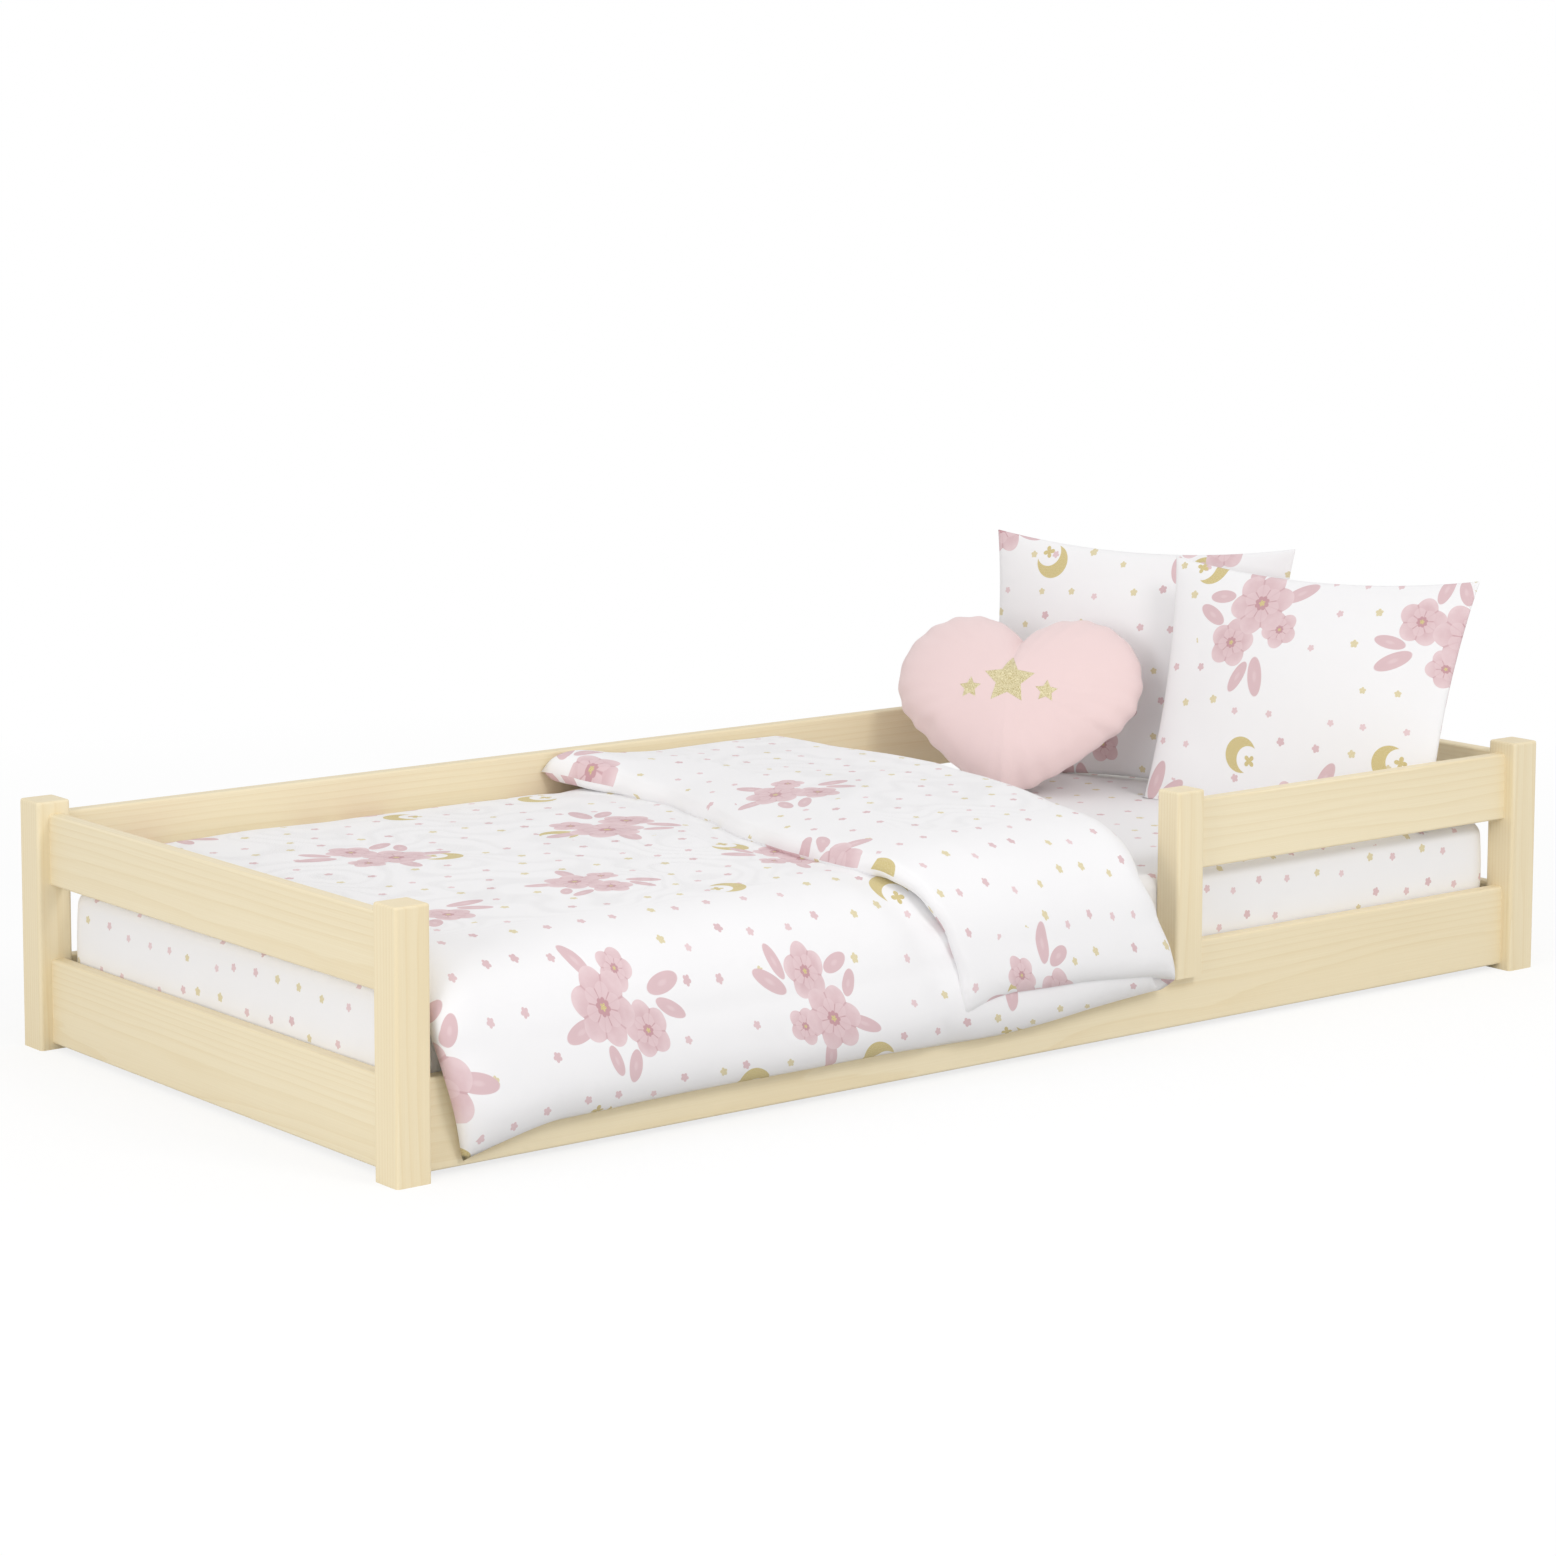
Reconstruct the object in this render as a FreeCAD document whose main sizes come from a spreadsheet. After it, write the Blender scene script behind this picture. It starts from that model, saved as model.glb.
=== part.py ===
"""Toddler floor bed: a low pine bed for a 70 x 160 cm mattress, with its bedding.

X runs from the foot to the head, Y from the open front to the back and Z up from the floor. The origin is
the centre of the underside of the front post at the foot. All lengths are millimetres.
"""
import FreeCAD, Part
import math
import os
import re

import Sketcher
from FreeCAD import Placement, Rotation, Vector

os.makedirs("parts", exist_ok=True)
doc = FreeCAD.newDocument("toddler_floor_bed")

# ---------------------------------------------------------------- driving sizes

SIZES = {
    # mattress and the room round it
    "mattress_length": 1600,
    "mattress_width": 700,
    "mattress_thick": 120,
    "mattress_corner": 38,  # radius of its upright corners
    "mattress_edge": 16,  # radius of its upper and lower edges
    "mattress_play": 5,  # between the mattress and the rails
    "sheet_thick": 1,
    "sheet_tuck": 90,  # how far the fitted sheet turns in under the mattress
    "cloth_gap": 0.2,  # between the sheet and the mattress in it
    "soft_gap": 0.3,  # between a soft piece and what it rests on
    # timber
    "post_side": 42,
    "post_round": 4,
    "rail_thick": 18,
    "rail_setback": 15,  # rails stand back from the posts' outer faces
    "rail_round": 3,
    "floor_gap": 7,  # under the lower rails
    "lower_rail_height": 97,
    "rail_gap": 85,  # between the lower and the upper rails
    "upper_rail_height": 81,
    "post_rise": 15,  # posts above the upper rails
    "entry_width": 1023,  # open part of the front, from the foot post to the guard post
    "guard_post_width": 42,
    "guard_post_overhang": 3,  # guard post behind the rails' inner faces
    "guard_post_lap": 37,  # how far it comes down the lower rail's face
    # joints
    "tenon_length": 20,
    "tenon_thick": 8,
    "tenon_shoulder": 14,
    "fit_play": 0.1,  # round tenons, dowels, bolts and screws
    "end_play": 0.5,  # past their ends
    "dowel_radius": 4,
    "dowel_length": 30,
    "dowel_in_post": 12,
    "dowel_inset": 20,  # from a side rail's edge to its dowel
    "bolt_thread_radius": 3,
    "bolt_shaft_radius": 2.5,
    "bolt_head_radius": 3.5,
    "bolt_head_length": 4,
    "bolt_in_post": 11,
    "cam_radius": 7.5,
    "cam_depth": 12.5,
    "cam_distance": 24,  # from the rail's end to the cam's centre
    # mattress base
    "ledger_thick": 20,
    "ledger_height": 30,
    "ledger_rise": 8,  # above the lower rail's lower edge
    "ledger_end_gap": 1,
    "ledger_screw_inset": 50,
    "ledger_screw_height": 10,
    "slat_width": 70,
    "slat_thick": 15,
    "slat_end_play": 1,
    "slat_round": 2,
    "slat_first_gap": 20,  # from an end rail to the first slat
    # screws
    "screw_radius": 2,
    "screw_head_radius": 4,
    "ledger_screw_length": 34,
    "slat_screw_length": 30,
    "guard_screw_length": 29,
    "guard_screw_inset": 11,
    # duvet
    "duvet_thick": 43,
    "duvet_flap_thick": 33,
    "duvet_foot_gap": 2,  # from the foot posts
    "duvet_guard_gap": 14,  # from the guard post
    "duvet_crease_slant": 62,  # the turned-down end reaches this much further at the back
    "duvet_flap_width": 390,
    "duvet_roll": 95,  # radius of its roll over the front
    "duvet_drop_thick": 27,
    "duvet_belly": 9,  # how far its hanging part swells
    "duvet_flap_drop_thick": 24,
    "duvet_flap_lift": 16,  # the turned-down part hangs this much further out
    "duvet_hem_height": 38,  # above the floor
    "duvet_corner_dip": 20,  # the foot corner of the hem hangs this much lower
    "duvet_corner_cut": 50,  # how far that corner swings away from the foot post
    "duvet_flap_hem_rise": 50,  # from the lower hem up to the turned-down one
    # pillows
    "pillow_width": 425,
    "pillow_height": 322,
    "pillow_thick": 110,
    "pillow_draw": 18,  # how far its long edges pull in between the corners
    "pillow_side_draw": 12,
    "pillow_seam": 3,
    "back_pillow_from_head": 137,
    "back_pillow_from_back": 206,
    "back_pillow_turn": 21,  # degrees towards the front
    "back_pillow_lean": 8,  # degrees back from upright
    "front_pillow_from_head": 134,
    "front_pillow_from_front": 208,
    "front_pillow_turn": 16,
    "front_pillow_lean": 18,
    # heart cushion
    "heart_width": 330,
    "heart_height": 248,
    "heart_thick": 116,
    "heart_lean": 32,
    "heart_turn": 35,
    "heart_from_head": 378,
    "heart_from_back": 214,
    "heart_sink": 3,  # how far its tip is pressed in
}
SLAT_COUNT = 12
LEDGER_SCREW_COUNT = 7
FUSE_TOLERANCE = 0.001

# Lengths and places worked out from the driving sizes, in the same words
PLACES = {
    "half_post": "post_side / 2",
    "bed_length": "mattress_length + 2 * (mattress_play + rail_thick + rail_setback)",
    "bed_width": "mattress_width + 2 * (mattress_play + rail_thick + rail_setback)",
    "head_post_x": "bed_length - post_side",
    "back_post_y": "bed_width - post_side",
    "rail_out": "rail_setback - half_post",
    "rail_in": "rail_out + rail_thick",
    "rail_middle": "rail_setback + rail_thick / 2",
    "side_rail_length": "bed_length - 2 * post_side",
    "end_rail_length": "bed_width - 2 * post_side",
    "lower_rail_top": "floor_gap + lower_rail_height",
    "upper_rail_z": "lower_rail_top + rail_gap",
    "post_height": "upper_rail_z + upper_rail_height + post_rise",
    "guard_post_x": "half_post + entry_width",
    "guard_post_z": "lower_rail_top - guard_post_lap",
    "guard_post_height": "post_height - guard_post_z",
    "guard_post_depth": "rail_setback + rail_thick + guard_post_overhang",
    "guard_rail_x": "guard_post_x + guard_post_width",
    "guard_rail_length": "head_post_x - half_post - guard_rail_x",
    "dowel_in_rail": "dowel_length - dowel_in_post",
    "ledger_z": "floor_gap + ledger_rise",
    "ledger_length": "side_rail_length - 2 * ledger_end_gap",
    "ledger_screw_pitch": f"(ledger_length - 2 * ledger_screw_inset) / {LEDGER_SCREW_COUNT - 1}",
    "slat_z": "ledger_z + ledger_height",
    "slat_top": "slat_z + slat_thick",
    "slat_length": "bed_width - 2 * (rail_setback + rail_thick + slat_end_play)",
    "slat_first_x": "rail_in + slat_first_gap",
    "slat_last_x": "head_post_x - rail_in - slat_first_gap - slat_width",
    "slat_pitch": f"(slat_last_x - slat_first_x) / {SLAT_COUNT - 1}",
    "slat_screw_inset": "ledger_thick / 2 - slat_end_play",
    "mattress_x": "rail_in + mattress_play",
    "mattress_z": "slat_top + soft_gap + sheet_thick + cloth_gap",
    "sheet_top": "mattress_z + mattress_thick + cloth_gap + sheet_thick",
    "bedding_z": "sheet_top + soft_gap",
    "countersink": "screw_head_radius - screw_radius",
}


def bound(text):
    """The expression with each named size read from its sheet or from the derived places."""

    def source(match):
        word = match.group()
        if word in SIZES:
            return "Sizes." + word
        if word in PLACES:
            return "Places." + word
        return word

    return re.sub(r"[a-z][a-z_0-9]+", source, text)


sheet = doc.addObject("Spreadsheet::Sheet", "Sizes")
for row, (alias, number) in enumerate(SIZES.items(), start=1):
    sheet.set(f"A{row}", alias.replace("_", " "))
    sheet.set(f"B{row}", str(number))
    sheet.setAlias(f"B{row}", alias)
doc.recompute()

places = doc.addObject("App::VarSet", "Places")
for name in PLACES:
    places.addProperty("App::PropertyFloat", name, "Derived", name.replace("_", " "))
for name, text in PLACES.items():
    places.setExpression(name, bound(text))
doc.recompute()


def value(name):
    """A driving size or a derived place, as a number."""
    if name in SIZES:
        return float(sheet.get(name))
    return places.getPropertyByName(name)


# ---------------------------------------------------------------- modelling helpers

UP = Vector(0, 0, 1)
nodes = []


def new_body(label):
    """An empty body with its own name, listed as a piece of the bed."""
    body = doc.addObject("PartDesign::Body", label)
    body.Label = label
    nodes.append(body)
    return body


def sketch_on(body, name, role, offset=None):
    """A sketch on one of the body's origin planes, moved along the plane's normal by an expression."""
    sketch = body.newObject("Sketcher::SketchObject", f"{body.Name}_{name}")
    plane = next(item for item in body.Origin.OriginFeatures if item.Role == role)
    sketch.AttachmentSupport = [(plane, "")]
    sketch.MapMode = "FlatFace"
    if offset is not None:
        sketch.setExpression("AttachmentOffset.Base.z", bound(offset))
    return sketch


def distance(sketch, kind, refs, name, text):
    """A driving distance with a name, bound to an expression."""
    index = sketch.addConstraint(Sketcher.Constraint(kind, *refs, 10.0))
    sketch.renameConstraint(index, name)
    sketch.setExpression(f"Constraints.{name}", bound(text))


def rectangle(body, name, role, wide, high, corner=None, offset=None):
    """A rectangle from its lower left corner, which is the origin unless a corner is given."""
    sketch = sketch_on(body, name, role, offset)
    points = [Vector(10, 10, 0), Vector(20, 10, 0), Vector(20, 20, 0), Vector(10, 20, 0)]
    for index, point in enumerate(points):
        sketch.addGeometry(Part.LineSegment(point, points[(index + 1) % 4]), False)
    for index in range(4):
        sketch.addConstraint(Sketcher.Constraint("Coincident", index, 2, (index + 1) % 4, 1))
    for index in (0, 2):
        sketch.addConstraint(Sketcher.Constraint("Horizontal", index))
        sketch.addConstraint(Sketcher.Constraint("Vertical", index + 1))
    if corner is None:
        sketch.addConstraint(Sketcher.Constraint("Coincident", 0, 1, -1, 1))
    else:
        distance(sketch, "DistanceX", (-1, 1, 0, 1), "corner_x", corner[0])
        distance(sketch, "DistanceY", (-1, 1, 0, 1), "corner_y", corner[1])
    distance(sketch, "DistanceX", (0, 1, 0, 2), "wide", wide)
    distance(sketch, "DistanceY", (1, 1, 1, 2), "high", high)
    return sketch


def circles(body, name, role, centres, radius, offset=None):
    """Equal circles about the given centres."""
    sketch = sketch_on(body, name, role, offset)
    for index, (across, along) in enumerate(centres):
        sketch.addGeometry(Part.Circle(Vector(10 + 10 * index, 10, 0), UP, 1.0), False)
        distance(sketch, "DistanceX", (-1, 1, index, 3), f"across_{index}", across)
        distance(sketch, "DistanceY", (-1, 1, index, 3), f"along_{index}", along)
        distance(sketch, "Radius", (index,), f"radius_{index}", radius)
    return sketch


def pad(body, sketch, length, backwards=False):
    """Material from the sketch along its normal, or against it."""
    feature = body.newObject("PartDesign::Pad", f"{sketch.Name}_pad")
    feature.Profile = sketch
    feature.Reversed = backwards
    feature.setExpression("Length", bound(length))
    sketch.Visibility = False
    doc.recompute()
    return feature


def pocket(body, sketch, depth, along_normal=False):
    """A cut from the sketch against its normal, or along it, which has to take material away."""
    before = body.Shape.Volume
    feature = body.newObject("PartDesign::Pocket", f"{sketch.Name}_pocket")
    feature.Profile = sketch
    feature.Reversed = along_normal
    feature.setExpression("Length", bound(depth))
    sketch.Visibility = False
    doc.recompute()
    if body.Shape.Volume >= before:
        raise ValueError(f"{feature.Name} cuts nothing")
    return feature


def round_edges(body, edges, radius):
    """A fillet on the named edges of the body's last feature."""
    base = body.Tip
    feature = body.newObject("PartDesign::Fillet", f"{body.Name}_round_{len(body.Group)}")
    feature.Base = (base, edges)
    feature.setExpression("Radius", bound(radius))
    doc.recompute()
    return feature


def countersink(body, edges):
    """A cone that sets each screw's head flush."""
    base = body.Tip
    feature = body.newObject("PartDesign::Chamfer", f"{body.Name}_countersink")
    feature.Base = (base, edges)
    feature.setExpression("Size", bound("countersink"))
    doc.recompute()
    return feature


def edges_along(shape, direction):
    """Names of the straight edges parallel to a direction."""
    names = []
    for index, edge in enumerate(shape.Edges, start=1):
        if isinstance(edge.Curve, Part.Line) and abs(edge.Curve.Direction.dot(direction)) > 0.999:
            names.append(f"Edge{index}")
    return names


def edges_at_height(shape, height):
    """Names of the edges that lie whole at one height."""
    names = []
    for index, edge in enumerate(shape.Edges, start=1):
        box = edge.BoundBox
        if abs(box.ZMin - height) < 0.01 and abs(box.ZMax - height) < 0.01:
            names.append(f"Edge{index}")
    return names


def circles_on(shape, axis, level, radius):
    """Names of the whole circles of one radius in the plane at a level along an axis."""
    names = []
    for index, edge in enumerate(shape.Edges, start=1):
        if isinstance(edge.Curve, Part.Circle) and abs(edge.Curve.Radius - radius) < 0.01:
            centre = edge.Curve.Center
            if abs(abs(edge.Curve.Axis.dot(axis)) - 1) < 0.001 and abs(centre.dot(axis) - level) < 0.01:
                names.append(f"Edge{index}")
    return names


def place(item, x, y, z, turn=0):
    """Put a piece at its place in the bed, turned about the upright axis in degrees."""
    item.Placement = Placement(Vector(), Rotation(UP, turn))
    for axis, text in zip("xyz", (x, y, z)):
        item.setExpression(f"Placement.Base.{axis}", bound(text))


def board(label, length, thick, height, rounding):
    """A board along X, thick along Y and high along Z, with its long edges rounded."""
    body = new_body(label)
    pad(body, rectangle(body, "section", "YZ_Plane", thick, height), length)
    round_edges(body, edges_along(body.Tip.Shape, Vector(1, 0, 0)), rounding)
    return body


def solid_piece(label, shape):
    """A piece, or a group of equal pieces, whose shape is worked out here."""
    item = doc.addObject("Part::Feature", label)
    item.Label = label
    item.Shape = shape
    nodes.append(item)
    return item


# ---------------------------------------------------------------- corner posts


def mortise(body, name, rail_z, rail_height, from_outer, faces_back):
    """The slot for an end rail's tenon, in the face that looks along the end rail."""
    sketch = rectangle(
        body,
        name,
        "XZ_Plane",
        "tenon_thick + 2 * fit_play",
        f"{rail_height} - 2 * tenon_shoulder + 2 * fit_play",
        (f"{from_outer} - tenon_thick / 2 - fit_play", f"{rail_z} + tenon_shoulder - fit_play"),
        "0 - post_side" if faces_back else None,
    )
    pocket(body, sketch, "tenon_length + end_play", along_normal=faces_back)


def rail_bores(body, name, across, rail_z, rail_height, offset, along_normal):
    """The holes in a post for one side rail's two dowels and its bolt."""
    heights = (f"{rail_z} + dowel_inset", f"{rail_z} + {rail_height} - dowel_inset")
    centres = [(across, height) for height in heights]
    dowels = circles(body, f"{name}_dowels", "YZ_Plane", centres, "dowel_radius + fit_play", offset)
    pocket(body, dowels, "dowel_in_post + end_play", along_normal)
    middle = f"{rail_z} + {rail_height} / 2"
    bolt = circles(
        body, f"{name}_bolt", "YZ_Plane", [(across, middle)], "bolt_thread_radius + fit_play", offset
    )
    pocket(body, bolt, "bolt_in_post + end_play", along_normal)


def corner_post(label, at_head, at_back, side_rails):
    """A square post with domed top edges, mortised for the end rails and bored for its side rails."""
    body = new_body(label)
    pad(body, rectangle(body, "section", "XY_Plane", "post_side", "post_side"), "post_height")
    round_edges(body, edges_along(body.Tip.Shape, UP), "post_round")
    round_edges(body, edges_at_height(body.Tip.Shape, value("post_height")), "post_round * 0.75")
    mirrored = "post_side - rail_middle"
    from_end = mirrored if at_head else "rail_middle"
    from_side = mirrored if at_back else "rail_middle"
    mortise(body, "lower_mortise", "floor_gap", "lower_rail_height", from_end, not at_back)
    mortise(body, "upper_mortise", "upper_rail_z", "upper_rail_height", from_end, not at_back)
    offset = None if at_head else "post_side"
    for name, rail_z, rail_height in side_rails:
        rail_bores(body, name, from_side, rail_z, rail_height, offset, along_normal=at_head)
    x = "head_post_x - half_post" if at_head else "0 - half_post"
    y = "back_post_y - half_post" if at_back else "0 - half_post"
    place(body, x, y, "0")
    return body


LOWER = ("lower", "floor_gap", "lower_rail_height")
UPPER = ("upper", "upper_rail_z", "upper_rail_height")
corner_post("foot_post_front", False, False, [LOWER])
corner_post("foot_post_back", False, True, [LOWER, UPPER])
corner_post("head_post_front", True, False, [LOWER, UPPER])
corner_post("head_post_back", True, True, [LOWER, UPPER])


# ---------------------------------------------------------------- end rails


def end_rail(label, x, z, height):
    """A rail across the foot or head, with a tenon in each post."""
    body = board(label, "end_rail_length", "rail_thick", height, "rail_round")
    section = ("tenon_thick", f"{height} - 2 * tenon_shoulder")
    corner = ("(rail_thick - tenon_thick) / 2", "tenon_shoulder")
    near = rectangle(body, "near_tenon", "YZ_Plane", *section, corner)
    pad(body, near, "tenon_length", backwards=True)
    far = rectangle(body, "far_tenon", "YZ_Plane", *section, corner, "end_rail_length")
    pad(body, far, "tenon_length")
    place(body, x, "half_post", z, turn=90)
    return body


for end, rail_x in (("foot", "rail_in"), ("head", "head_post_x - rail_out")):
    end_rail(f"{end}_lower_rail", rail_x, "floor_gap", "lower_rail_height")
    end_rail(f"{end}_upper_rail", rail_x, "upper_rail_z", "upper_rail_height")


# ---------------------------------------------------------------- side rails


def side_rail(label, length, height, y, z, x="half_post"):
    """A rail along one side, bored at both ends for dowels and bolts, with its cams in its far face."""
    body = board(label, length, "rail_thick", height, "rail_round")
    heights = ("dowel_inset", f"{height} - dowel_inset")
    for end, offset in (("near", None), ("far", length)):
        centres = [("rail_thick / 2", at) for at in heights]
        dowels = circles(body, f"{end}_dowels", "YZ_Plane", centres, "dowel_radius + fit_play", offset)
        pocket(body, dowels, "dowel_in_rail + end_play", along_normal=end == "near")
        bore = circles(
            body,
            f"{end}_bolt",
            "YZ_Plane",
            [("rail_thick / 2", f"{height} / 2")],
            "bolt_head_radius + fit_play",
            offset,
        )
        pocket(body, bore, "cam_distance", along_normal=end == "near")
    cams = circles(
        body,
        "cams",
        "XZ_Plane",
        [("cam_distance", f"{height} / 2"), (f"{length} - cam_distance", f"{height} / 2")],
        "cam_radius",
        "0 - rail_thick",
    )
    pocket(body, cams, "cam_depth", along_normal=True)
    place(body, x, y, z)
    return body


def ledger_pilots(body, on_far_face):
    """Blind holes in a lower rail for the screws of its ledger."""
    height = "ledger_rise + ledger_screw_height"
    centres = []
    for index in range(LEDGER_SCREW_COUNT):
        centres.append((f"ledger_end_gap + ledger_screw_inset + {index} * ledger_screw_pitch", height))
    offset = "0 - rail_thick" if on_far_face else None
    sketch = circles(body, "pilots", "XZ_Plane", centres, "screw_radius + fit_play", offset)
    pocket(body, sketch, "ledger_screw_length - ledger_thick + end_play", along_normal=on_far_face)


back_rail_y = "back_post_y - rail_in"
whole = "side_rail_length"
front_lower_rail = side_rail("front_lower_rail", whole, "lower_rail_height", "rail_out", "floor_gap")
back_lower_rail = side_rail("back_lower_rail", whole, "lower_rail_height", back_rail_y, "floor_gap")
side_rail("back_upper_rail", whole, "upper_rail_height", back_rail_y, "upper_rail_z")
half = "guard_rail_length"
side_rail("guard_rail", half, "upper_rail_height", "rail_out", "upper_rail_z", "guard_rail_x")

ledger_pilots(front_lower_rail, on_far_face=True)
ledger_pilots(back_lower_rail, on_far_face=False)

# Screw holes through the front lower rail into the guard post's lap
GUARD_SCREWS = ("guard_screw_inset", "guard_post_width - guard_screw_inset")
screw_holes = circles(
    front_lower_rail,
    "guard_screw_holes",
    "XZ_Plane",
    [(f"entry_width + {inset}", "lower_rail_height - guard_post_lap / 2") for inset in GUARD_SCREWS],
    "screw_radius",
    "0 - rail_thick",
)
pocket(front_lower_rail, screw_holes, "rail_thick", along_normal=True)
countersink(
    front_lower_rail,
    circles_on(front_lower_rail.Tip.Shape, Vector(0, 1, 0), value("rail_thick"), value("screw_radius")),
)


# ---------------------------------------------------------------- guard post


def guard_post():
    """The short post that sits on the front lower rail and laps down over its face."""
    body = new_body("guard_post")
    section = rectangle(body, "section", "XY_Plane", "guard_post_width", "guard_post_depth")
    pad(body, section, "guard_post_height")
    round_edges(body, edges_along(body.Tip.Shape, UP), "post_round")
    round_edges(body, edges_at_height(body.Tip.Shape, value("guard_post_height")), "post_round * 0.75")
    notch = rectangle(
        body,
        "notch",
        "YZ_Plane",
        "guard_post_depth",
        "guard_post_lap * 2",
        ("rail_setback", "0 - guard_post_lap"),
    )
    pocket(body, notch, "guard_post_width", along_normal=True)
    rail_bores(
        body,
        "guard_rail",
        "rail_middle",
        "upper_rail_z - guard_post_z",
        "upper_rail_height",
        "guard_post_width",
        along_normal=False,
    )
    pilots = circles(
        body,
        "pilots",
        "XZ_Plane",
        [(inset, "guard_post_lap / 2") for inset in GUARD_SCREWS],
        "screw_radius + fit_play",
        "0 - rail_setback",
    )
    pocket(body, pilots, "guard_screw_length - rail_thick + end_play", along_normal=True)
    place(body, "guard_post_x", "0 - half_post", "guard_post_z")


guard_post()


# ---------------------------------------------------------------- mattress base


def ledger(label, x, y, turn):
    """A batten inside a lower side rail, with its screw heads in its far face."""
    body = board(label, "ledger_length", "ledger_thick", "ledger_height", "slat_round")
    centres = [
        (f"ledger_screw_inset + {index} * ledger_screw_pitch", "ledger_screw_height")
        for index in range(LEDGER_SCREW_COUNT)
    ]
    holes = circles(body, "holes", "XZ_Plane", centres, "screw_radius", "0 - ledger_thick")
    pocket(body, holes, "ledger_thick", along_normal=True)
    countersink(
        body, circles_on(body.Tip.Shape, Vector(0, 1, 0), value("ledger_thick"), value("screw_radius"))
    )
    start = "slat_first_x + slat_width / 2 - half_post - ledger_end_gap"
    pilots = circles(
        body,
        "slat_pilots",
        "XY_Plane",
        [(f"{start} + {index} * slat_pitch", "ledger_thick / 2") for index in range(SLAT_COUNT)],
        "screw_radius + fit_play",
        "ledger_height",
    )
    pocket(body, pilots, "slat_screw_length - slat_thick + end_play")
    place(body, x, y, "ledger_z", turn)


ledger("front_ledger", "half_post + ledger_end_gap", "rail_in", 0)
ledger("back_ledger", "half_post + ledger_end_gap + ledger_length", "back_post_y - rail_in", 180)


def slat(index):
    """One slat across the bed, screwed to both ledgers."""
    body = board(f"slat_{index + 1:02d}", "slat_length", "slat_width", "slat_thick", "slat_round")
    ends = ("slat_screw_inset", "slat_length - slat_screw_inset")
    holes = circles(
        body, "holes", "XY_Plane", [(end, "slat_width / 2") for end in ends], "screw_radius", "slat_thick"
    )
    pocket(body, holes, "slat_thick")
    countersink(body, circles_on(body.Tip.Shape, UP, value("slat_thick"), value("screw_radius")))
    place(body, f"slat_first_x + slat_width + {index} * slat_pitch", "rail_in + slat_end_play", "slat_z", 90)


for number in range(SLAT_COUNT):
    slat(number)


# ---------------------------------------------------------------- fasteners


def at_each(shape, spots):
    """Copies of one shape, each moved by a placement, as one group of separate solids."""
    copies = []
    for spot in spots:
        copy = shape.copy()
        copy.Placement = spot
        copies.append(copy)
    return Part.makeCompound(copies)


def screw(length):
    """A countersunk wood screw along -Z, with the flat of its head at the origin."""
    shank_radius = value("screw_radius") - value("fit_play")
    head_radius = value("screw_head_radius") - value("fit_play")
    head_depth = head_radius - shank_radius
    tip_length = 2 * shank_radius
    down = Vector(0, 0, -1)
    head = Part.makeCone(head_radius, shank_radius, head_depth, Vector(), down)
    shank = Part.makeCylinder(shank_radius, length - tip_length, Vector(), down)
    tip = Part.makeCone(shank_radius, shank_radius / 4, tip_length, Vector(0, 0, tip_length - length), down)
    return head.fuse([shank, tip]).removeSplitter()


def screw_spots():
    """Where each kind of screw has its head, and the way it turns."""
    into_front_rail = Rotation(Vector(0, 0, -1), Vector(0, -1, 0))
    into_back_rail = Rotation(Vector(0, 0, -1), Vector(0, 1, 0))
    ledger_front_y = value("rail_in") + value("ledger_thick")
    ledger_back_y = value("back_post_y") - ledger_front_y
    ledger_start = value("half_post") + value("ledger_end_gap") + value("ledger_screw_inset")
    ledger_z = value("ledger_z") + value("ledger_screw_height")
    ledgers = []
    for index in range(LEDGER_SCREW_COUNT):
        x = ledger_start + index * value("ledger_screw_pitch")
        ledgers.append(Placement(Vector(x, ledger_front_y, ledger_z), into_front_rail))
        ledgers.append(Placement(Vector(x, ledger_back_y, ledger_z), into_back_rail))
    slats = []
    for index in range(SLAT_COUNT):
        x = value("slat_first_x") + value("slat_width") / 2 + index * value("slat_pitch")
        front_y = value("rail_in") + value("ledger_thick") / 2
        for y in (front_y, value("back_post_y") - front_y):
            slats.append(Placement(Vector(x, y, value("slat_top")), Rotation()))
    guards = []
    for inset in (value("guard_screw_inset"), value("guard_post_width") - value("guard_screw_inset")):
        middle_z = value("guard_post_z") + value("guard_post_lap") / 2
        spot = Vector(value("guard_post_x") + inset, value("rail_in"), middle_z)
        guards.append(Placement(spot, into_front_rail))
    return ledgers, slats, guards


ledger_spots, slat_spots, guard_spots = screw_spots()
solid_piece("ledger_screws", at_each(screw(value("ledger_screw_length")), ledger_spots))
solid_piece("slat_screws", at_each(screw(value("slat_screw_length")), slat_spots))
solid_piece("guard_post_screws", at_each(screw(value("guard_screw_length")), guard_spots))


def dowel():
    """A wooden dowel along +X, from its end in the post."""
    return Part.makeCylinder(
        value("dowel_radius"), value("dowel_length"), Vector(-value("dowel_in_post"), 0, 0), Vector(1, 0, 0)
    )


def cam_bolt():
    """A steel bolt along +X: its thread in the post, its head in the cam."""
    along = Vector(1, 0, 0)
    thread_start = Vector(-value("bolt_in_post"), 0, 0)
    head_start = value("cam_distance") - value("bolt_head_length") / 2
    thread = Part.makeCylinder(value("bolt_thread_radius"), value("bolt_in_post"), thread_start, along)
    shaft = Part.makeCylinder(value("bolt_shaft_radius"), head_start, Vector(), along)
    head = Part.makeCylinder(
        value("bolt_head_radius"), value("bolt_head_length"), Vector(head_start, 0, 0), along
    )
    return thread.fuse([shaft, head]).removeSplitter()


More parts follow.
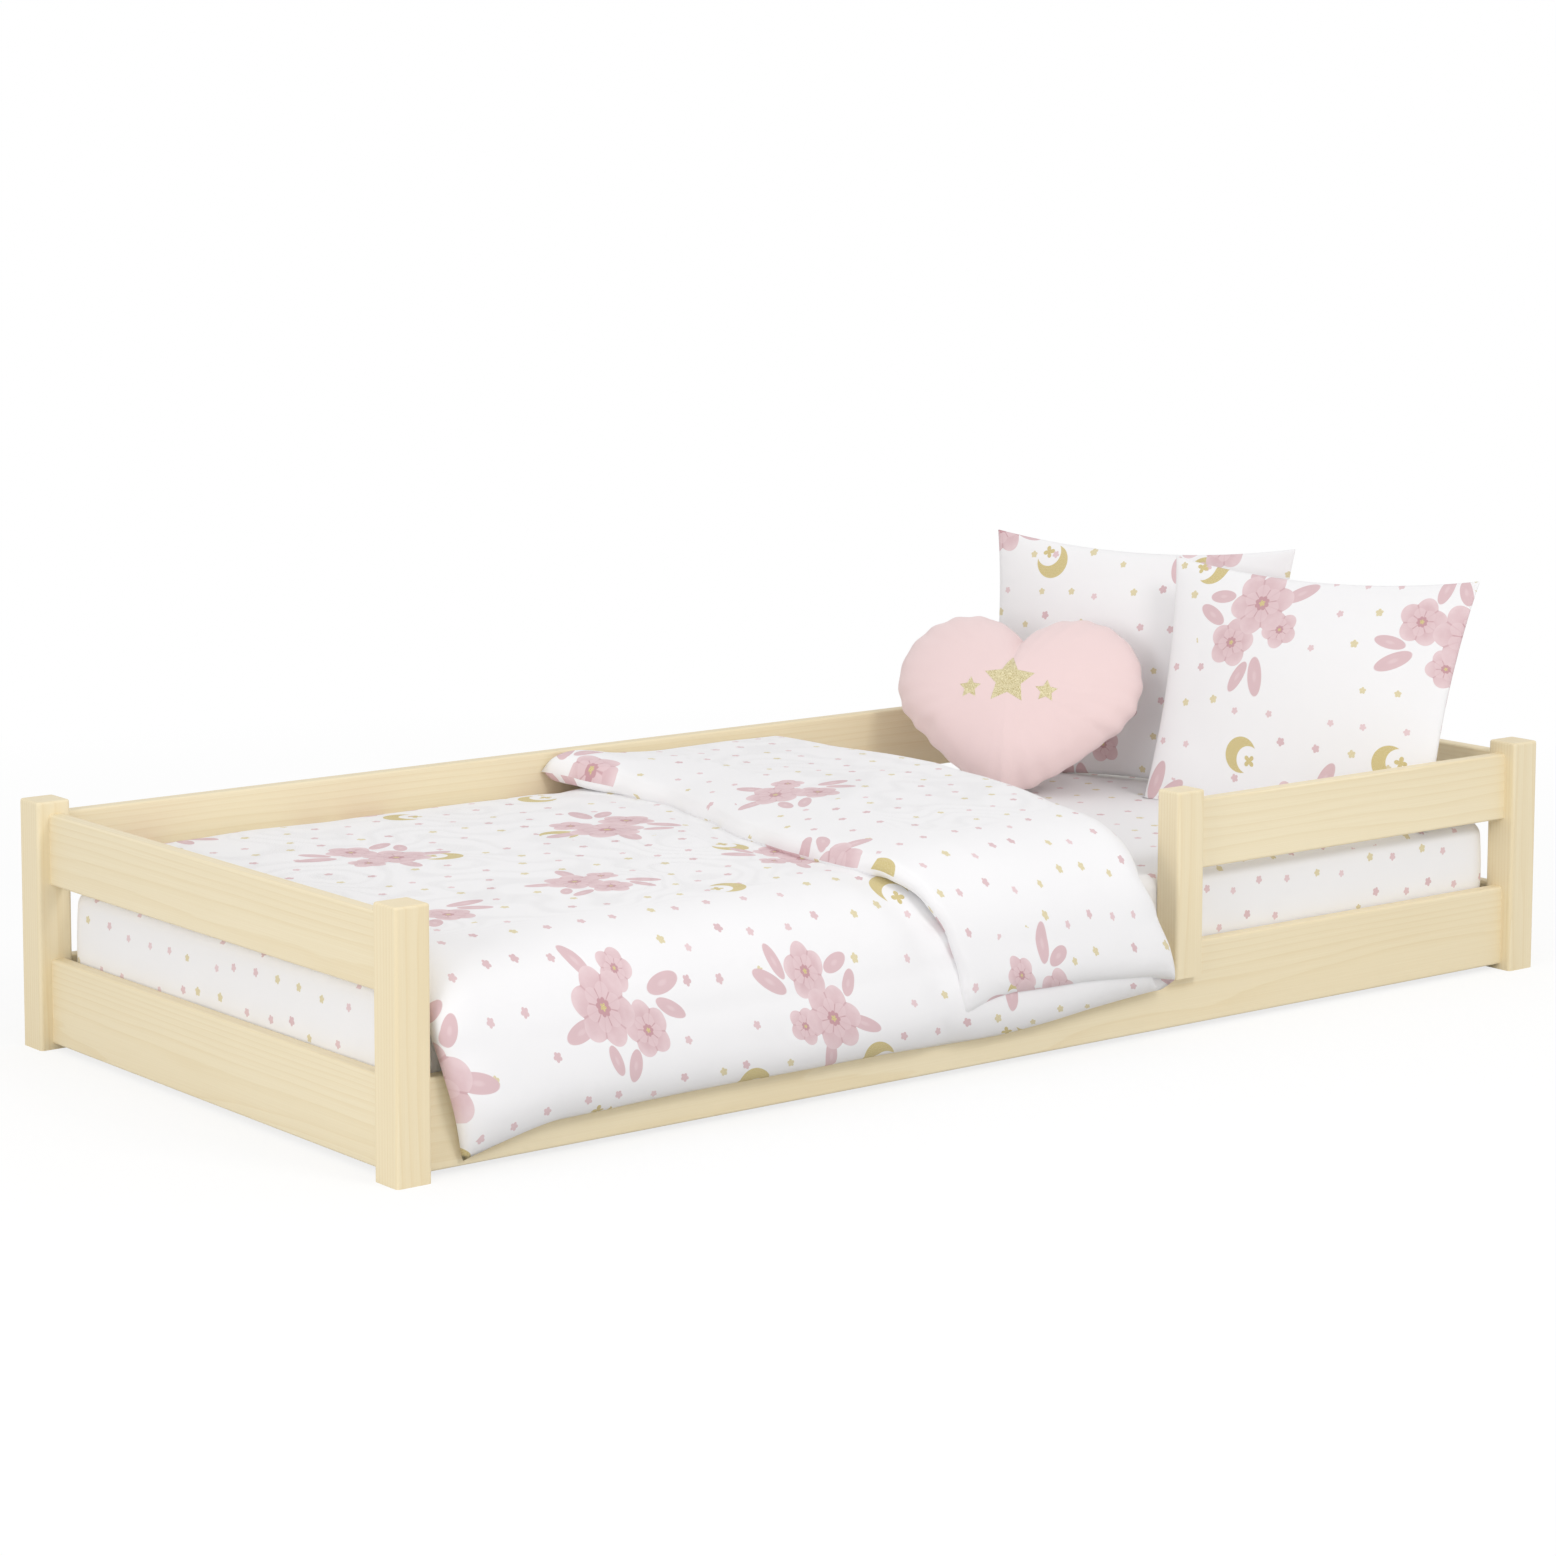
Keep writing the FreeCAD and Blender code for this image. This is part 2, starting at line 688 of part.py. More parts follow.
def cam_lock():
    """A cam in the rail's far face, with a channel for the bolt's head and a cross for the driver."""
    radius = value("cam_radius") - value("fit_play")
    depth = value("cam_depth") - value("end_play")
    face_y = value("rail_thick") / 2
    disc = Part.makeCylinder(radius, depth, Vector(value("cam_distance"), face_y - depth, 0), Vector(0, 1, 0))
    half_channel = value("bolt_head_radius") + 2 * value("fit_play")
    channel_length = value("cam_distance") + value("bolt_head_length") / 2 + value("end_play")
    channel = Part.makeBox(
        channel_length, 2 * half_channel, 2 * half_channel, Vector(0, -half_channel, -half_channel)
    )
    slot_wide = radius / 5
    slot_deep = depth / 8
    body = disc.cut(channel)
    for slot_x, slot_z in ((radius * 1.2, slot_wide), (slot_wide, radius * 1.2)):
        corner = Vector(value("cam_distance") - slot_x / 2, face_y - slot_deep, -slot_z / 2)
        body = body.cut(Part.makeBox(slot_x, slot_deep, slot_z, corner))
    return body


def side_rail_ends():
    """The place of each side rail's end, at its middle height, with the rail's height and way."""
    front_y = value("rail_out") + value("rail_thick") / 2
    back_y = value("back_post_y") - front_y
    foot_x = value("half_post")
    head_x = value("head_post_x") - value("half_post")
    rails = [
        (foot_x, front_y, value("floor_gap"), value("lower_rail_height")),
        (foot_x, back_y, value("floor_gap"), value("lower_rail_height")),
        (foot_x, back_y, value("upper_rail_z"), value("upper_rail_height")),
        (value("guard_rail_x"), front_y, value("upper_rail_z"), value("upper_rail_height")),
    ]
    ends = []
    for start_x, y, z, height in rails:
        middle_z = z + height / 2
        ends.append((Vector(start_x, y, middle_z), height, False))
        ends.append((Vector(head_x, y, middle_z), height, True))
    return ends


dowel_spots = []
bolt_spots = []
for spot, rail_height, faces_head in side_rail_ends():
    # turned about Y at the head end, so that the cam stays in the same face
    way = Rotation(Vector(0, 1, 0), 180 if faces_head else 0)
    bolt_spots.append(Placement(spot, way))
    reach = rail_height / 2 - value("dowel_inset")
    for step in (-reach, reach):
        dowel_spots.append(Placement(spot + Vector(0, 0, step), way))
solid_piece("rail_dowels", at_each(dowel(), dowel_spots))
solid_piece("cam_bolts", at_each(cam_bolt(), bolt_spots))
solid_piece("cam_locks", at_each(cam_lock(), bolt_spots))


# ---------------------------------------------------------------- mattress and fitted sheet


def mattress():
    """A foam block with rounded corners and edges."""
    body = new_body("mattress")
    pad(body, rectangle(body, "plan", "XY_Plane", "mattress_length", "mattress_width"), "mattress_thick")
    round_edges(body, edges_along(body.Tip.Shape, UP), "mattress_corner")
    rims = edges_at_height(body.Tip.Shape, 0) + edges_at_height(body.Tip.Shape, value("mattress_thick"))
    round_edges(body, rims, "mattress_edge")
    place(body, "mattress_x", "mattress_x", "mattress_z")


def rounded_block(grow):
    """The mattress's block, grown on every side."""
    start = value("mattress_x") - grow
    length = value("mattress_length") + 2 * grow
    width = value("mattress_width") + 2 * grow
    thick = value("mattress_thick") + 2 * grow
    corner = value("mattress_corner") + grow
    rim_radius = value("mattress_edge") + grow
    block = Part.makeBox(length, width, thick, Vector(start, start, value("mattress_z") - grow))
    block = block.makeFillet(corner, [edge for edge in block.Edges if edge.BoundBox.ZLength > grow + 1])
    rims = [edge for edge in block.Edges if edge.BoundBox.ZLength < 0.01]
    return block.makeFillet(rim_radius, rims)


def fitted_sheet():
    """A cloth skin over the mattress, tucked in under it all round."""
    inner = rounded_block(value("cloth_gap"))
    outer = rounded_block(value("cloth_gap") + value("sheet_thick"))
    tuck = value("sheet_tuck")
    start = value("mattress_x") + tuck
    opening = Part.makeBox(
        value("mattress_length") - 2 * tuck,
        value("mattress_width") - 2 * tuck,
        value("mattress_thick") / 2,
        Vector(start, start, value("mattress_z") - value("mattress_thick") / 4),
    )
    solid_piece("fitted_sheet", outer.cut(inner).cut(opening))


mattress()
fitted_sheet()


# ---------------------------------------------------------------- duvet


def outline(points, at):
    """A closed wire through places of a section: a point ends a line, a pair of points an arc."""
    start = at(points[0])
    here = start
    edges = []
    for step in points[1:] + [points[0]]:
        if isinstance(step[0], tuple):
            middle, end = at(step[0]), at(step[1])
            edges.append(Part.Arc(here, middle, end).toShape())
        else:
            end = at(step)
            edges.append(Part.LineSegment(here, end).toShape())
        here = end
    return Part.Wire(edges)


def duvet_layer(stations, outer, thick, inner_steps):
    """A layer of the duvet: sections across the bed, joined along its length.

    Each station is the X of its front, how much further its back reaches, the height of its upper
    face, the height of its lower face and the height of its hem. The hanging part's outer face is
    at a Y and as thick as given, and the inner steps lead from its inner face to the lower face.
    """
    back = value("back_post_y") - value("rail_in") - 2 * value("soft_gap")
    roll = value("duvet_roll")
    belly = outer - value("duvet_belly")
    face = outer + thick
    sections = []
    for front_x, slant, top, low, hem in stations:
        bulge = (top - low) * 0.28
        shoulder = top - roll
        points = [
            (back - bulge, low),
            ((back, (top + low) / 2), (back - bulge, top)),
            (outer + roll, top),
            ((outer + roll * 0.27, top - roll * 0.3), (belly + 4, shoulder)),
            ((belly, (shoulder + hem) / 2 + 8), (outer, hem + thick / 2)),
            ((outer + thick * 0.2, hem + thick * 0.12), (outer + thick / 2, hem)),
            ((face - thick * 0.14, hem + thick * 0.14), (face, hem + thick / 2)),
        ] + inner_steps(face, low)
        span = back - outer
        sections.append(
            outline(points, lambda p, x=front_x, s=slant, w=span: Vector(x + s * (p[0] - outer) / w, *p))
        )
    return Part.makeLoft(sections, True, True)


def over_mattress(face, low):
    """From the front rail's face over its upper edge and round the mattress's edge."""
    edge = value("mattress_x") - value("cloth_gap") - value("sheet_thick") - value("soft_gap")
    rim = value("mattress_edge")
    return [
        (face, value("lower_rail_top") + value("rail_round") + 1),
        (edge, value("sheet_top") - rim),
        ((edge + rim * 0.29, low - rim * 0.29), (edge + rim, low)),
    ]


def over_duvet(face, low):
    """Inside the lower layer, round its roll."""
    roll = value("duvet_roll") * 0.8
    return [
        (face, low - roll),
        ((face + roll * 0.29, low - roll * 0.29), (face + roll, low)),
    ]


def duvet():
    """One quilt, turned down towards the foot and hanging over the front rail."""
    low = value("bedding_z")
    top = low + value("duvet_thick")
    upper = top + value("duvet_flap_thick")
    hem = value("duvet_hem_height")
    corner_hem = hem - value("duvet_corner_dip")
    start = value("half_post") + value("duvet_foot_gap")
    crease = value("guard_post_x") - value("duvet_guard_gap")
    slant = value("duvet_crease_slant")
    cut = value("duvet_corner_cut")
    soft = value("duvet_thick") / 4
    stations = [
        (start, 0, top - soft, low, corner_hem),
        (start + soft, 0, top - soft / 3, low, corner_hem),
        (start + cut, 0, top, low, corner_hem),
        (start + 3 * cut, 0, top, low, hem),
        (crease - 4 * soft, slant, top, low, hem),
        (crease - soft, slant, top, low + soft / 3, hem + soft),
        (crease, slant, top - soft / 2, low + soft, hem + 2 * soft),
    ]
    drop = value("duvet_drop_thick")
    outer = value("rail_out") - value("soft_gap") - drop
    main = duvet_layer(stations, outer, drop, over_mattress)
    free_edge = crease - value("duvet_flap_width")
    flap_hem = hem + value("duvet_flap_hem_rise")
    flap_low = top - soft
    flap_stations = [
        (free_edge, 0, top + soft, flap_low, flap_hem + soft / 2),
        (free_edge + 2 * soft, 0, upper - soft / 3, flap_low, flap_hem),
        (free_edge + 4 * soft, soft, upper, flap_low, flap_hem),
        (crease - 4 * soft, slant, upper, flap_low, flap_hem - soft),
        (crease - soft, slant, upper - soft / 2, flap_low, flap_hem - soft),
        (crease - soft / 4, slant, upper - 2 * soft, flap_low - soft, flap_hem),
    ]
    flap_drop = value("duvet_flap_drop_thick")
    flap = duvet_layer(flap_stations, outer - value("duvet_flap_lift"), flap_drop, over_duvet)
    # the foot corner of the hanging part swings away from the foot post
    deep = 4 * drop
    y = value("rail_out") - deep
    corner = [
        Vector(start - 1, y, value("sheet_top")),
        Vector(start - 1, y, 0),
        Vector(start + cut, y, 0),
        Vector(start + cut * 0.94, y, corner_hem),
    ]
    swing = Part.Face(Part.makePolygon(corner + corner[:1])).extrude(Vector(0, deep, 0))
    quilt = main.fuse([flap], FUSE_TOLERANCE).cut(swing)
    if len(quilt.Solids) != 1:
        raise ValueError("the duvet's layers have not joined")
    solid_piece("duvet", quilt)


duvet()


# ---------------------------------------------------------------- pillows and heart cushion


def lens(middle_x, height, thick):
    """A section of a pillow: two arcs that meet at the seams above and below."""
    seam_top = Vector(middle_x, 0, height / 2)
    seam_low = Vector(middle_x, 0, -height / 2)
    front = Part.Arc(seam_low, Vector(middle_x, -thick / 2, 0), seam_top).toShape()
    back = Part.Arc(seam_top, Vector(middle_x, thick / 2, 0), seam_low).toShape()
    return Part.Wire([front, back])


def pillow_form():
    """A filled pillow: crowned faces, corners that stand out and edges that pull in between them."""
    half_width = value("pillow_width") / 2
    height = value("pillow_height")
    seam = value("pillow_seam")
    sections = []
    # share of the half width, and how full the pillow is there
    for share, full in ((1, 0), (0.9, 0.34), (0.74, 0.64), (0.42, 0.92), (0, 1)):
        pull = value("pillow_draw") * (1 - share**2)
        sections.append((share * half_width, height - 2 * pull, seam + (value("pillow_thick") - seam) * full))
    right = [lens(x, high, thick) for x, high, thick in sections]
    left = [lens(-x, high, thick) for x, high, thick in sections[:-1]]
    form = Part.makeLoft(left + right[::-1], True, False)
    draw = value("pillow_side_draw")
    radius = ((height / 2) ** 2 + draw**2) / (2 * draw)
    for side in (-1, 1):
        centre = Vector(side * (half_width - draw + radius), -height, 0)
        form = form.cut(Part.makeCylinder(radius, 2 * height, centre, Vector(0, 1, 0)))
    return form


def heart_form():
    """A stuffed heart: its outline at the seam, crowned to both faces."""
    half_width = value("heart_width") / 2
    height = value("heart_height")
    lobe = 0.53 * half_width
    lobe_x = half_width - lobe
    lobe_z = height - lobe
    cleft_z = lobe_z + math.sqrt(lobe**2 - lobe_x**2)
    reach = math.hypot(lobe_x, lobe_z)
    slope = math.atan2(lobe_z, lobe_x) - math.asin(lobe / reach)
    tangent = math.sqrt(reach**2 - lobe**2)
    foot_x = tangent * math.cos(slope)
    foot_z = tangent * math.sin(slope)
    belly = 0.03 * height
    middle = (foot_x / 2 + belly * math.sin(slope), foot_z / 2 - belly * math.cos(slope))
    side = (lobe_x + lobe, lobe_z)
    shoulder = (lobe_x + lobe * math.cos(math.radians(75)), lobe_z + lobe * math.sin(math.radians(75)))
    low_side = (lobe_x + lobe * math.cos(slope / 2), lobe_z - lobe * math.sin(slope / 2))

    def mirror(point):
        return (-point[0], point[1])

    points = [
        (0, 0),
        (middle, (foot_x, foot_z)),
        (low_side, side),
        (shoulder, (0, cleft_z)),
        (mirror(shoulder), mirror(side)),
        (mirror(low_side), (-foot_x, foot_z)),
        (mirror(middle), (0, 0)),
    ]
    centre_z = 0.55 * height
    halves = []
    for way in (-1, 1):
        rings = []
        # share of the half thickness, and how large the outline is there
        for share, size in ((0.02, 1), (0.36, 0.965), (0.66, 0.86), (0.88, 0.66), (0.98, 0.4), (1, 0.2)):
            y = way * share * value("heart_thick") / 2

            def at(point, y=y, size=size):
                return Vector(size * point[0], y, centre_z + size * (point[1] - centre_z))

            rings.append(heart_outline(points, at))
        halves.append(Part.makeLoft(rings, True, False))
    thin = 0.02 * value("heart_thick") / 2
    rim = Part.Face(heart_outline(points, lambda point: Vector(point[0], -thin, point[1])))
    rim = rim.extrude(Vector(0, 2 * thin, 0))
    return rim.fuse(halves).removeSplitter()


def heart_outline(points, at):
    """The heart's closed outline, whose last step comes back to its first point."""
    here = at(points[0])
    edges = []
    for middle, end in points[1:]:
        edges.append(Part.Arc(here, at(middle), at(end)).toShape())
        here = at(end)
    return Part.Wire(edges)


def lean_back(form, foot, turn, lean):
    """Stand a cushion at a place on the mattress, turned about the upright axis and leaning back."""
    spot = form.copy()
    spot.Placement = Placement(foot, Rotation(UP, turn) * Rotation(Vector(1, 0, 0), -lean))
    return spot


def seated(form):
    """The cushion with its lower edge pressed flat on the sheet and its sides kept between the rails."""
    box = form.BoundBox
    gap = value("soft_gap")
    inner = value("rail_in") + gap
    room = Part.makeBox(
        box.XLength + 2 * gap,
        value("back_post_y") - 2 * inner,
        box.ZMax,
        Vector(box.XMin - gap, inner, value("bedding_z")),
    )
    return form.common(room)


def pillow(label, y):
    """One pillow, standing on its long edge at the head."""
    lean = value(f"{label}_lean")
    half_height = value("pillow_height") / 2
    middle_z = value("bedding_z") + (half_height - value("pillow_draw")) * math.cos(math.radians(lean))
    x = value("head_post_x") - value("rail_in") - value(f"{label}_from_head")
    turn = value(f"{label}_turn") - 90
    solid_piece(label, seated(lean_back(pillow_form(), Vector(x, y, middle_z), turn, lean)))


def heart_cushion():
    """The heart, standing on its tip against the back pillow."""
    foot = Vector(
        value("head_post_x") - value("rail_in") - value("heart_from_head"),
        value("back_post_y") - value("rail_in") - value("heart_from_back"),
        value("bedding_z") - value("heart_sink"),
    )
    form = lean_back(heart_form(), foot, value("heart_turn") - 90, value("heart_lean"))
    solid_piece("heart_cushion", seated(form))


back_y = value("back_post_y") - value("rail_in") - value("back_pillow_from_back")
front_y = value("rail_in") + value("front_pillow_from_front")
pillow("back_pillow", back_y)
pillow("front_pillow", front_y)
heart_cushion()


# ---------------------------------------------------------------- check and write

doc.recompute()
for item in doc.Objects:
    if "Invalid" in item.State or "Error" in item.State:
        raise ValueError(f"{item.Name} failed: {item.State}")
for node in nodes:
    shape = node.Shape
    if shape.isNull() or not shape.isValid() or not shape.Solids:
        raise ValueError(f"{node.Label} has no valid solid")
    shape.exportStep(f"parts/{node.Label}.step")
print(len(nodes), "nodes written")
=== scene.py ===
"""Looks of a toddler floor bed in pale pine with its mattress, quilt, pillows and heart cushion.

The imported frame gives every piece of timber. The bedding is made here, in metres, in the same frame:
X runs from the foot to the head, Y from the open front to the back, Z up from the floor.
"""
import math

import bpy
from mathutils import Euler, Matrix, Vector, noise


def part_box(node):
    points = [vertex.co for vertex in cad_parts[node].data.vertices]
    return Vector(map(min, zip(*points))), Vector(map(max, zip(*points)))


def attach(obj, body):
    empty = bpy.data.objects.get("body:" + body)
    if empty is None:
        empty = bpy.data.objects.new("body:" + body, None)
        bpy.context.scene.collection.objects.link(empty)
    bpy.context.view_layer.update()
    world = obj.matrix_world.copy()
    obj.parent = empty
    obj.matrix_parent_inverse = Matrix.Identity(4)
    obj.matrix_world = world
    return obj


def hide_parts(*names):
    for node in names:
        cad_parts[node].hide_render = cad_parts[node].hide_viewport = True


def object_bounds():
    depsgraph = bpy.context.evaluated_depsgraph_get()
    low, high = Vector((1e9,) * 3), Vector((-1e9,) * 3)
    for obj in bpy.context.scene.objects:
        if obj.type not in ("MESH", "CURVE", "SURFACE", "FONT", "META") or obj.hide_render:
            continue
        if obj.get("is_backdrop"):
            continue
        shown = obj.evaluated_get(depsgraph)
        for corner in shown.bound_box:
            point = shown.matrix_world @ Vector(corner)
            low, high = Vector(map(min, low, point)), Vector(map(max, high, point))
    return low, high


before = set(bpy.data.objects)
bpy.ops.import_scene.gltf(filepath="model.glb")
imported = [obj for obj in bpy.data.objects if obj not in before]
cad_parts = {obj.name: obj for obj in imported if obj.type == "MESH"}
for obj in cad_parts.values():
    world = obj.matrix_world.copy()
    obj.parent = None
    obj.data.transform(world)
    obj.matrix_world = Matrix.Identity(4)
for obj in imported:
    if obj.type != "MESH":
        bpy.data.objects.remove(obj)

bl_info = {
    "name": "Toddler floor bed",
    "version": (1, 0, 0),
    "blender": (4, 5, 0),
    "location": "View3D > Sidebar > Floor bed",
    "description": "Finishes the timber and makes the bedding of a toddler floor bed",
    "category": "Object",
}

CAD_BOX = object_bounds()
SHEET_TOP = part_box("fitted_sheet")[1].z
MATTRESS_LOW, MATTRESS_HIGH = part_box("mattress")
DUVET_LOW, DUVET_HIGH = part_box("duvet")

# Bedding lies this far from what it touches, inside the rails
TOUCH_GAP = 0.0004
BEDDING_FLOOR = SHEET_TOP + TOUCH_GAP
INNER_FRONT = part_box("front_lower_rail")[1].y + TOUCH_GAP
INNER_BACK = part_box("back_lower_rail")[0].y - TOUCH_GAP
RAIL_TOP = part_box("back_upper_rail")[1].z + 0.002
# Half the thickness of a pillow's or the heart's seam
SEAM = 0.0008


# The picture that the camera was set up against: its width, focal length and lens shift, in pixels
PICTURE_PIXELS = 1556
FOCAL_PIXELS = 4120.616
RISE_PIXELS = -218


def linear(red, green, blue):
    """A colour given as it shows on a screen, from 0 to 255, as linear light."""
    shares = []
    for level in (red, green, blue):
        share = level / 255
        shares.append(share / 12.92 if share <= 0.04045 else ((share + 0.055) / 1.055) ** 2.4)
    return tuple(shares)


def colour_property(name, description, *levels):
    return bpy.props.FloatVectorProperty(
        name=name, description=description, subtype="COLOR", size=3, min=0, max=1, default=linear(*levels)
    )


def length_property(name, description, metres):
    return bpy.props.FloatProperty(name=name, description=description, unit="LENGTH", default=metres, min=0)


def metres(length):
    """A property's length to the micrometre, without the noise of how it is stored."""
    return round(length, 6)


class BedTimber(bpy.types.PropertyGroup):
    """Colours of the pine."""

    pale: colour_property("Pale wood", "Colour of the early wood", 243, 230, 198)
    dark: colour_property("Dark wood", "Colour of the late wood's thin rings", 228, 207, 163)
    ring: length_property("Ring width", "Width of one year's growth", 0.0042)


class BedPrint(bpy.types.PropertyGroup):
    """Colours and scale of the bedding's print."""

    ground: colour_property("Ground", "Colour of the plain cotton", 246, 245, 246)
    pink: colour_property("Pink", "Colour of the petals", 233, 209, 212)
    rose: colour_property("Rose", "Darker colour in the petals", 201, 157, 163)
    gold: colour_property("Gold", "Colour of the moons and of some blossoms", 214, 196, 134)
    blush: colour_property("Blush", "Colour of the heart cushion", 243, 218, 217)
    motif_pitch: length_property("Motif pitch", "From one large flower to the next", 0.27)
    dot_pitch: length_property("Blossom pitch", "From one small blossom to the next", 0.045)


class BedBedding(bpy.types.PropertyGroup):
    """Sizes of the quilt, the pillows and the heart cushion."""

    quilt_width: length_property("Quilt width", "From the back edge to the hem, along the cloth", 0.872)
    quilt_length: length_property("Quilt length", "From the foot to the fold, along the cloth", 0.985)
    turned_length: length_property("Turned-down end", "From the fold to its free edge", 0.375)
    fold_radius: length_property("Fold radius", "Radius of the fold at the middle of the filling", 0.0185)
    pillow_width: length_property("Pillow width", "Width of the filled pillow at its corners", 0.433)
    pillow_height: length_property("Pillow height", "Height of the filled pillow at its corners", 0.333)
    pillow_crown: length_property("Pillow crown", "How far each face stands out in its middle", 0.048)
    heart_width: length_property("Heart width", "Across both lobes", 0.328)
    heart_height: length_property("Heart height", "From the tip to the top of the lobes", 0.255)
    heart_crown: length_property("Heart crown", "How far each face stands out in its middle", 0.0565)


class BedStage(bpy.types.PropertyGroup):
    """The camera and the light."""

    camera_place: bpy.props.FloatVectorProperty(
        name="Camera place", description="Where the camera stands", subtype="XYZ", unit="LENGTH", size=3,
        default=(-2.198183, -3.380401, 1.108659),
    )
    camera_forward: bpy.props.FloatVectorProperty(
        name="Camera direction", description="Which way it looks", subtype="DIRECTION", size=3,
        default=(0.6158832, 0.7788071, -0.1189431),
    )
    camera_up: bpy.props.FloatVectorProperty(
        name="Camera up", description="Which way its upper side faces", subtype="DIRECTION", size=3,
        default=(0.0715291, 0.0950742, 0.992897),
    )
    focal_share: bpy.props.FloatProperty(
        name="Focal share", description="In picture widths", default=FOCAL_PIXELS / PICTURE_PIXELS
    )
    rise: bpy.props.FloatProperty(
        name="Lens rise", description="Upward shift in picture widths", default=RISE_PIXELS / PICTURE_PIXELS
    )
    sky: bpy.props.FloatProperty(name="Sky", description="Strength of the light from all round", default=0.79)
    key: bpy.props.FloatProperty(
        name="Key", description="Power of the lamp in front", default=45, unit="POWER"
    )


# ---------------------------------------------------------------- wiring nodes


class Wires:
    """Adds nodes to one tree; inputs may be numbers, colours or other nodes' outputs."""

    def __init__(self, tree):
        self.tree = tree

    def node(self, kind, settings=None, **inputs):
        node = self.tree.nodes.new(kind)
        for key, setting in (settings or {}).items():
            setattr(node, key, setting)
        for key, given in inputs.items():
            self.put(node.inputs[key.replace("_", " ")], given)
        return node

    def put(self, socket, given):
        if isinstance(given, bpy.types.NodeSocket):
            self.tree.links.new(given, socket)
        elif given is not None:
            socket.default_value = given

    def math(self, operation, *values, clamp=False):
        node = self.tree.nodes.new("ShaderNodeMath")
        node.operation = operation
        node.use_clamp = clamp
        for socket, given in zip(node.inputs, values):
            self.put(socket, given)
        return node.outputs[0]

    def plus(self, first, second, clamp=False):
        return self.math("ADD", first, second, clamp=clamp)

    def minus(self, first, second):
        return self.math("SUBTRACT", first, second)

    def times(self, first, second, clamp=False):
        return self.math("MULTIPLY", first, second, clamp=clamp)

    def over(self, first, second, clamp=False):
        return self.math("DIVIDE", first, second, clamp=clamp)

    def vector(self, operation, first, second=None, scale=None):
        node = self.tree.nodes.new("ShaderNodeVectorMath")
        node.operation = operation
        self.put(node.inputs[0], first)
        if second is not None:
            self.put(node.inputs[1], second)
        if scale is not None:
            self.put(node.inputs["Scale"], scale)
        return node.outputs["Value"] if operation in ("LENGTH", "DOT_PRODUCT") else node.outputs[0]

    def mix(self, share, first, second):
        node = self.tree.nodes.new("ShaderNodeMix")
        node.data_type = "RGBA"
        self.put(node.inputs[0], share)
        self.put(node.inputs[6], first if isinstance(first, bpy.types.NodeSocket) else (*first, 1)[:4])
        self.put(node.inputs[7], second if isinstance(second, bpy.types.NodeSocket) else (*second, 1)[:4])
        return node.outputs[2]

    def length(self, *parts):
        """Distance from the origin of the place with these parts."""
        return self.vector("LENGTH", self.join(*parts))

    def split(self, vector):
        node = self.node("ShaderNodeSeparateXYZ")
        self.put(node.inputs[0], vector)
        return node.outputs[0], node.outputs[1], node.outputs[2]

    def join(self, x=0.0, y=0.0, z=0.0):
        node = self.node("ShaderNodeCombineXYZ")
        for socket, given in zip(node.inputs, (x, y, z)):
            self.put(socket, given)
        return node.outputs[0]

    def noise(self, vector, scale, detail=2.0, rough=0.5):
        node = self.node("ShaderNodeTexNoise", Scale=scale, Detail=detail, Roughness=rough)
        self.put(node.inputs["Vector"], vector)
        return node.outputs[0]

    def object_place(self):
        return self.node("ShaderNodeTexCoord").outputs["Object"]

    def mapped(self, place, kind, location, rotation):
        """A place turned and moved; the kind TEXTURE takes it back into a piece's own frame."""
        node = self.node("ShaderNodeMapping", {"vector_type": kind}, Location=location, Rotation=rotation)
        self.put(node.inputs["Vector"], place)
        return node.outputs[0]

    def inside(self, reach, edge, soft=0.0006):
        """1 where reach is under edge, with a narrow soft border."""
        return self.over(self.minus(edge, reach), soft, clamp=True)

    def turned(self, x, y, angle):
        sine, cosine = self.math("SINE", angle), self.math("COSINE", angle)
        across = self.minus(self.times(x, cosine), self.times(y, sine))
        along = self.plus(self.times(x, sine), self.times(y, cosine))
        return across, along

    def oval(self, x, y, at_x, at_y, wide, high, tilt=0.0):
        """How far a point is from an oval's middle, 1 at its edge."""
        across, along = self.minus(x, at_x), self.minus(y, at_y)
        if tilt:
            across, along = self.turned(across, along, tilt)
        return self.length(self.over(across, wide), self.over(along, high))


def new_group(name, inputs, outputs):
    """An empty shader group with its named sockets."""
    group = bpy.data.node_groups.new(name, "ShaderNodeTree")
    for label, kind in inputs:
        group.interface.new_socket(name=label, in_out="INPUT", socket_type=f"NodeSocket{kind}")
    for label, kind in outputs:
        group.interface.new_socket(name=label, in_out="OUTPUT", socket_type=f"NodeSocket{kind}")
    wires = Wires(group)
    return group, wires, wires.node("NodeGroupInput").outputs, wires.node("NodeGroupOutput").inputs


